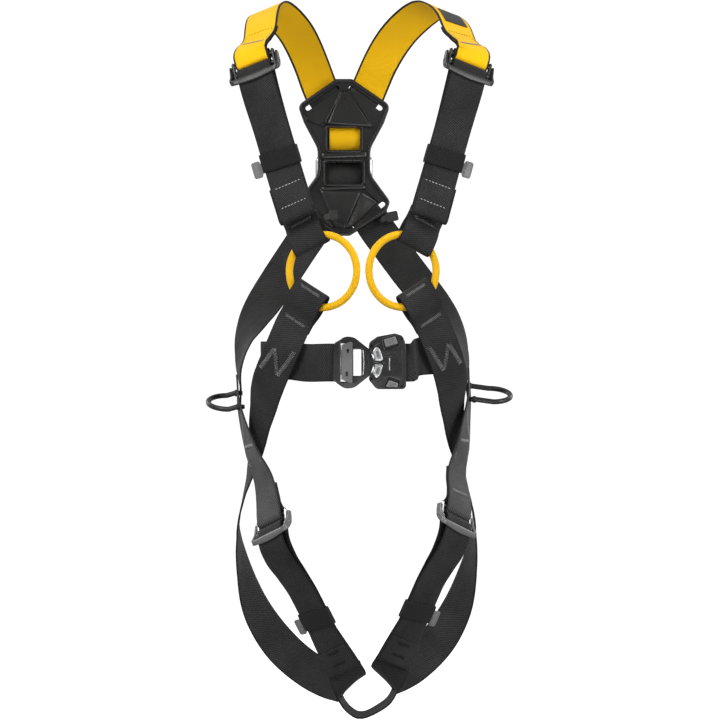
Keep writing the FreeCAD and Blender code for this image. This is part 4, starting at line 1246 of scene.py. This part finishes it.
def make_buckle_buttons():
    """Ribbed press buttons, one in the top edge and one in the bottom."""
    for where, corners in BUTTON_OUTLINES.items():
        body = where + "_button"
        meshes = [moulding("button", [outline_points(corners)], -9.0, -3.75, 0.8)]
        merged_piece("buckle_button_cap_" + where, meshes, "button_grey", body,
                     ["buckle_button_" + where])
        teeth = Shapes()
        left, right = (corners[0], corners[1]), (corners[3], corners[2])
        if where == "lower":
            left, right = (corners[1], corners[2]), (corners[0], corners[3])
        for k in range(TEETH):
            t = (k + 0.8) / (TEETH + 0.6)
            first = Vector(left[0][:2]).lerp(Vector(right[0][:2]), t)
            last = Vector(left[1][:2]).lerp(Vector(right[1][:2]), t)
            spots = [first.lerp(last, d) for d in (0.14, 0.18, 0.5, 0.82, 0.86)]
            teeth.sweep([buckle_point(spot.x, spot.y, -9.05) for spot in spots], [Vector((0, 0, 1))],
                        [(0.2, 0.15), (0.55, 0.5), (0.55, 0.5), (0.55, 0.5), (0.2, 0.15)], sides=10)
        teeth.build("buckle_button_ribs_" + where, "button_grey", "plastic_grey", body)


def make_buckle_jaws():
    """Bright jaws that close on the tongue from above and below, each with a dull facet."""
    for sign, where in ((1, "upper"), (-1, "lower")):
        meshes = [moulding("jaw", [outline_points(JAW_OUTLINE, sign)], -9.0, -2.6, 1.5)]
        merged_piece("buckle_jaw_hook_" + where, meshes, "steel_bright", where + "_jaw",
                     ["buckle_jaw_" + where])
        meshes = [moulding("facet", [outline_points(JAW_FACET, sign)], -9.5, -7.0, 0.5)]
        merged_piece("buckle_jaw_facet_" + where, meshes, "lip_grey", where + "_jaw")


def make_tongue_frame():
    """The oval frame on the left belt, with its window, curved nose and bright edge bar."""
    outer = outline_points(TONGUE_OUTLINE)
    window = outline_points(box_outline(-41.4, -31.5, -15.6, 15.6, 1.6))
    belt_slot = outline_points(box_outline(-57.6, -43.6, -22.4, 22.4, 2.0))
    rim = outline_points(RIM_OUTLINE)
    meshes = [moulding("frame", [outer, window, belt_slot], -4.4, 3.6, 1.2),
              moulding("rim", [rim], -8.0, -4.2, 1.2)]
    merged_piece("tongue_frame_casting", meshes, "moulded_black", ROOT, ["tongue_frame"])
    trim = Shapes()
    for x, y, high, size in ((-55.9, -5.4, 21.6, 0.8), (-29.6, -4.3, 15.0, 0.7)):
        bow = [buckle_point(x + 0.9 * (1 - (z / high) ** 2), z, y)
               for z in (-high, -high + 0.7, -high * 0.5, 0, high * 0.5, high - 0.7, high)]
        trim.sweep(bow, [Vector((1, 0, 0))], [(size * 0.6, size * 0.6)] + [(size, size)] * 5
                   + [(size * 0.6, size * 0.6)], sides=12, power=2)
    trim.build("tongue_frame_trim", "steel_bright", "steel_bright")
    ridge = Shapes()
    for x, half in ((-26.2, 13.5), (-22.6, 10.5)):
        bow = [buckle_point(x + 2.6 * (1 - (z / half) ** 2), z, -4.4)
               for z in (-half, -half + 1, -half * 0.5, 0, half * 0.5, half - 1, half)]
        ridge.sweep(bow, [Vector((1, 0, 0))], [(0.3, 0.2)] + [(0.8, 0.6)] * 5 + [(0.3, 0.2)], sides=12)
    ridge.build("tongue_frame_ridges", "moulded_black", "moulded_black")


def make_adjuster_plate():
    """The grey clamping plate, with slanted ends and two small dark recesses."""
    outer = outline_points(PLATE_OUTLINE)
    holes = [outline_points(box_outline(x - 1.3, x + 1.3, z - 2.6, z + 2.6, 0.6))
             for x, z in ((-47.4, 13.4), (-48.6, -13.6))]
    meshes = [moulding("plate", [outer] + holes, -8.0, -5.3, 0.5)]
    barrel = Shapes()
    barrel.sweep([buckle_point(-44.2, z, -1.8) for z in (-20.4, -20.0, 0, 20.0, 20.4)], [Vector((1, 0, 0))],
                 [(3.0, 3.0), (3.5, 3.5), (3.5, 3.5), (3.5, 3.5), (3.0, 3.0)], power=2)
    merged_piece("adjuster_plate_pressing", meshes, "plastic_grey", "adjuster_plate",
                 ["adjuster_plate"])
    barrel.build("adjuster_plate_barrel", "steel_black", "steel_black", "adjuster_plate")
    backing = Shapes()
    for x, z in ((-47.4, 13.4), (-48.6, -13.6)):
        backing.sweep([buckle_point(x, z + d, -5.7) for d in (-3.2, -2.8, 2.8, 3.2)], [Vector((1, 0, 0))],
                      [(1.4, 0.3), (1.8, 0.4), (1.8, 0.4), (1.4, 0.3)])
    backing.build("adjuster_plate_plugs", "moulded_black", "moulded_black", "adjuster_plate")


def make_tool_loops(side):
    """A black tube bent into a loop, its two ends turned in under the side straps' sewn sleeve."""
    name = SIDES[side]
    front, rear = (place(side, TOOL_OUT[side], *end) for end in (TOOL_FRONT, TOOL_REAR))
    radius = (rear - front).length / 2
    out = Vector((side * (TOOL_REACH[side] - radius), 0, -3))
    middle = (front + rear) / 2 + out
    half = (rear - front) / 2
    inward = Vector((-side * TOOL_INSET, 0, 0))
    route = [front + inward, front + inward * 0.4, front, front + out * 0.5]
    for k in range(25):
        turn = math.pi * k / 24
        route.append(middle - half * math.cos(turn) + Vector((side * radius * math.sin(turn), 0, 0)))
    route += [rear + out * 0.5, rear, rear + inward * 0.4, rear + inward]
    tube = Shapes()
    up = half.normalized().cross(Vector((1, 0, 0)))
    ends = [(2.6, 2.6)] + [(TOOL_TUBE_RADIUS, TOOL_TUBE_RADIUS)] * (len(route) - 2) + [(2.6, 2.6)]
    tube.sweep(route, [up], ends, sides=20, power=2)
    tube.build("tool_loop_tube_" + name, "tube_black", "tube_black", ROOT, ["tool_loop_" + name])
    cuffs = Shapes()
    for end in (front, rear):
        cuffs.sweep([end + inward * t for t in (0.45, 0.40, 0.05, 0.0, -0.1)], [up],
                    [(3.0, 3.0), (3.9, 3.9), (4.3, 4.3), (4.1, 4.1), (3.4, 3.4)], sides=20, power=2)
    cuffs.build("tool_loop_cuffs_" + name, "elastic_plain", "elastic_black")


def make_pelvic_strap():
    strap = Strap("sub_pelvic_webbing", smooth(crossing_route(PELVIC_ROUTE)), PELVIC_WIDTH, ripple=0.0)
    strap.build("webbing_black", "webbing_black", ["sub_pelvic_strap"])


def dress_cad_parts():
    """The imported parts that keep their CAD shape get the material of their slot."""
    slots = {part["node"]: part["material_slot"] for part in frame["record"]["subparts"]}
    darker = {"buckle_rivets": "steel_black"}
    for node, piece in frame["nodes"].items():
        piece.data.materials.clear()
        piece.data.materials.append(MATERIALS[darker.get(node, slots[node])])


# --- Studio ------------------------------------------------------------------------------------------------

CAMERA_PLACE = Vector((20.0, -4125.0, -210.0))
CAMERA_LENS = 164.5
FLOOR_DROP = 0.05


def area_light(name, place_m, target, size, power):
    data = bpy.data.lights.new(name, "AREA")
    data.shape = "RECTANGLE"
    data.size, data.size_y = size
    data.energy = power
    light = bpy.data.objects.new(name, data)
    light.location = place_m
    light.rotation_euler = (target - light.location).to_track_quat("-Z", "Y").to_euler()
    bpy.context.scene.collection.objects.link(light)


def make_backdrop(floor_z):
    """A pale floor that curves up into a pale surround, so that no view shows its edge."""
    profile = [(0.0, 0.0), (3.0, 0.0), (5.5, 0.0)]
    for k in range(1, 9):
        turn = math.pi / 2 * k / 8
        profile.append((5.5 + 1.5 * math.sin(turn), 1.5 * (1 - math.cos(turn))))
    profile.append((7.0, 8.0))
    spokes = 72
    points = [(0.0, 0.0, floor_z)]
    faces = []
    for reach, height in profile[1:]:
        for k in range(spokes):
            turn = 2 * math.pi * k / spokes
            points.append((reach * math.cos(turn), reach * math.sin(turn), floor_z + height))
    for k in range(spokes):
        faces.append((0, 1 + k, 1 + (k + 1) % spokes))
    for ring in range(len(profile) - 2):
        for k in range(spokes):
            a, b = 1 + ring * spokes, 1 + (ring + 1) * spokes
            j = (k + 1) % spokes
            faces.append((a + k, b + k, b + j, a + j))
    mesh = bpy.data.meshes.new("studio_floor")
    mesh.from_pydata(points, [], faces)
    mesh.polygons.foreach_set("use_smooth", [True] * len(mesh.polygons))
    pale = bpy.data.materials.new("studio_pale")
    pale.use_nodes = True
    shader = pale.node_tree.nodes["Principled BSDF"]
    shader.inputs["Base Color"].default_value = grey(0.55)
    shader.inputs["Roughness"].default_value = 1.0
    shader.inputs["Emission Color"].default_value = grey(1.0)
    shader.inputs["Emission Strength"].default_value = 0.72
    mesh.materials.append(pale)
    floor = bpy.data.objects.new("studio_floor", mesh)
    floor.visible_diffuse = False
    floor.visible_glossy = False
    bpy.context.scene.collection.objects.link(floor)


def make_studio():
    """A pale surround and soft lights, with a level camera in front."""
    bpy.context.scene.view_settings.view_transform = "Standard"
    low, high = (Vector(corner) for corner in CAD_BOUNDS)
    middle = (low + high) / 2
    make_backdrop(low.z - FLOOR_DROP)
    world = bpy.data.worlds.new("studio_world")
    world.use_nodes = True
    world.node_tree.nodes["Background"].inputs["Color"].default_value = grey(1.0)
    world.node_tree.nodes["Background"].inputs["Strength"].default_value = 0.55
    bpy.context.scene.world = world
    area_light("key", middle + Vector((-1.4, -1.7, 1.5)), middle, (1.0, 1.6), 52.0)
    area_light("fill", middle + Vector((1.7, -1.4, 0.5)), middle, (0.8, 1.8), 30.0)
    area_light("low_front", middle + Vector((0.0, -2.3, -0.9)), middle, (1.4, 0.8), 20.0)
    area_light("rim_left", middle + Vector((-1.5, 1.3, 0.9)), middle, (0.6, 1.8), 16.0)
    area_light("rim_right", middle + Vector((1.5, 1.3, 0.9)), middle, (0.6, 1.8), 16.0)
    data = bpy.data.cameras.new("camera")
    data.lens = CAMERA_LENS
    data.sensor_width = 36.0
    data.clip_end = 50.0
    camera = bpy.data.objects.new("camera", data)
    camera.location = CAMERA_PLACE * MM
    camera.rotation_euler = (math.pi / 2, 0, 0)
    bpy.context.scene.collection.objects.link(camera)
    bpy.context.scene.camera = camera


make_studio()
dress_cad_parts()
for each_side in SIDES:
    make_side_straps(each_side)
    make_sternal_loop(each_side)
    make_tool_loops(each_side)
make_crossings()
make_pelvic_strap()
make_dorsal_details()
make_labels()
make_buckle_body()
make_buckle_buttons()
make_buckle_jaws()
make_tongue_frame()
make_adjuster_plate()
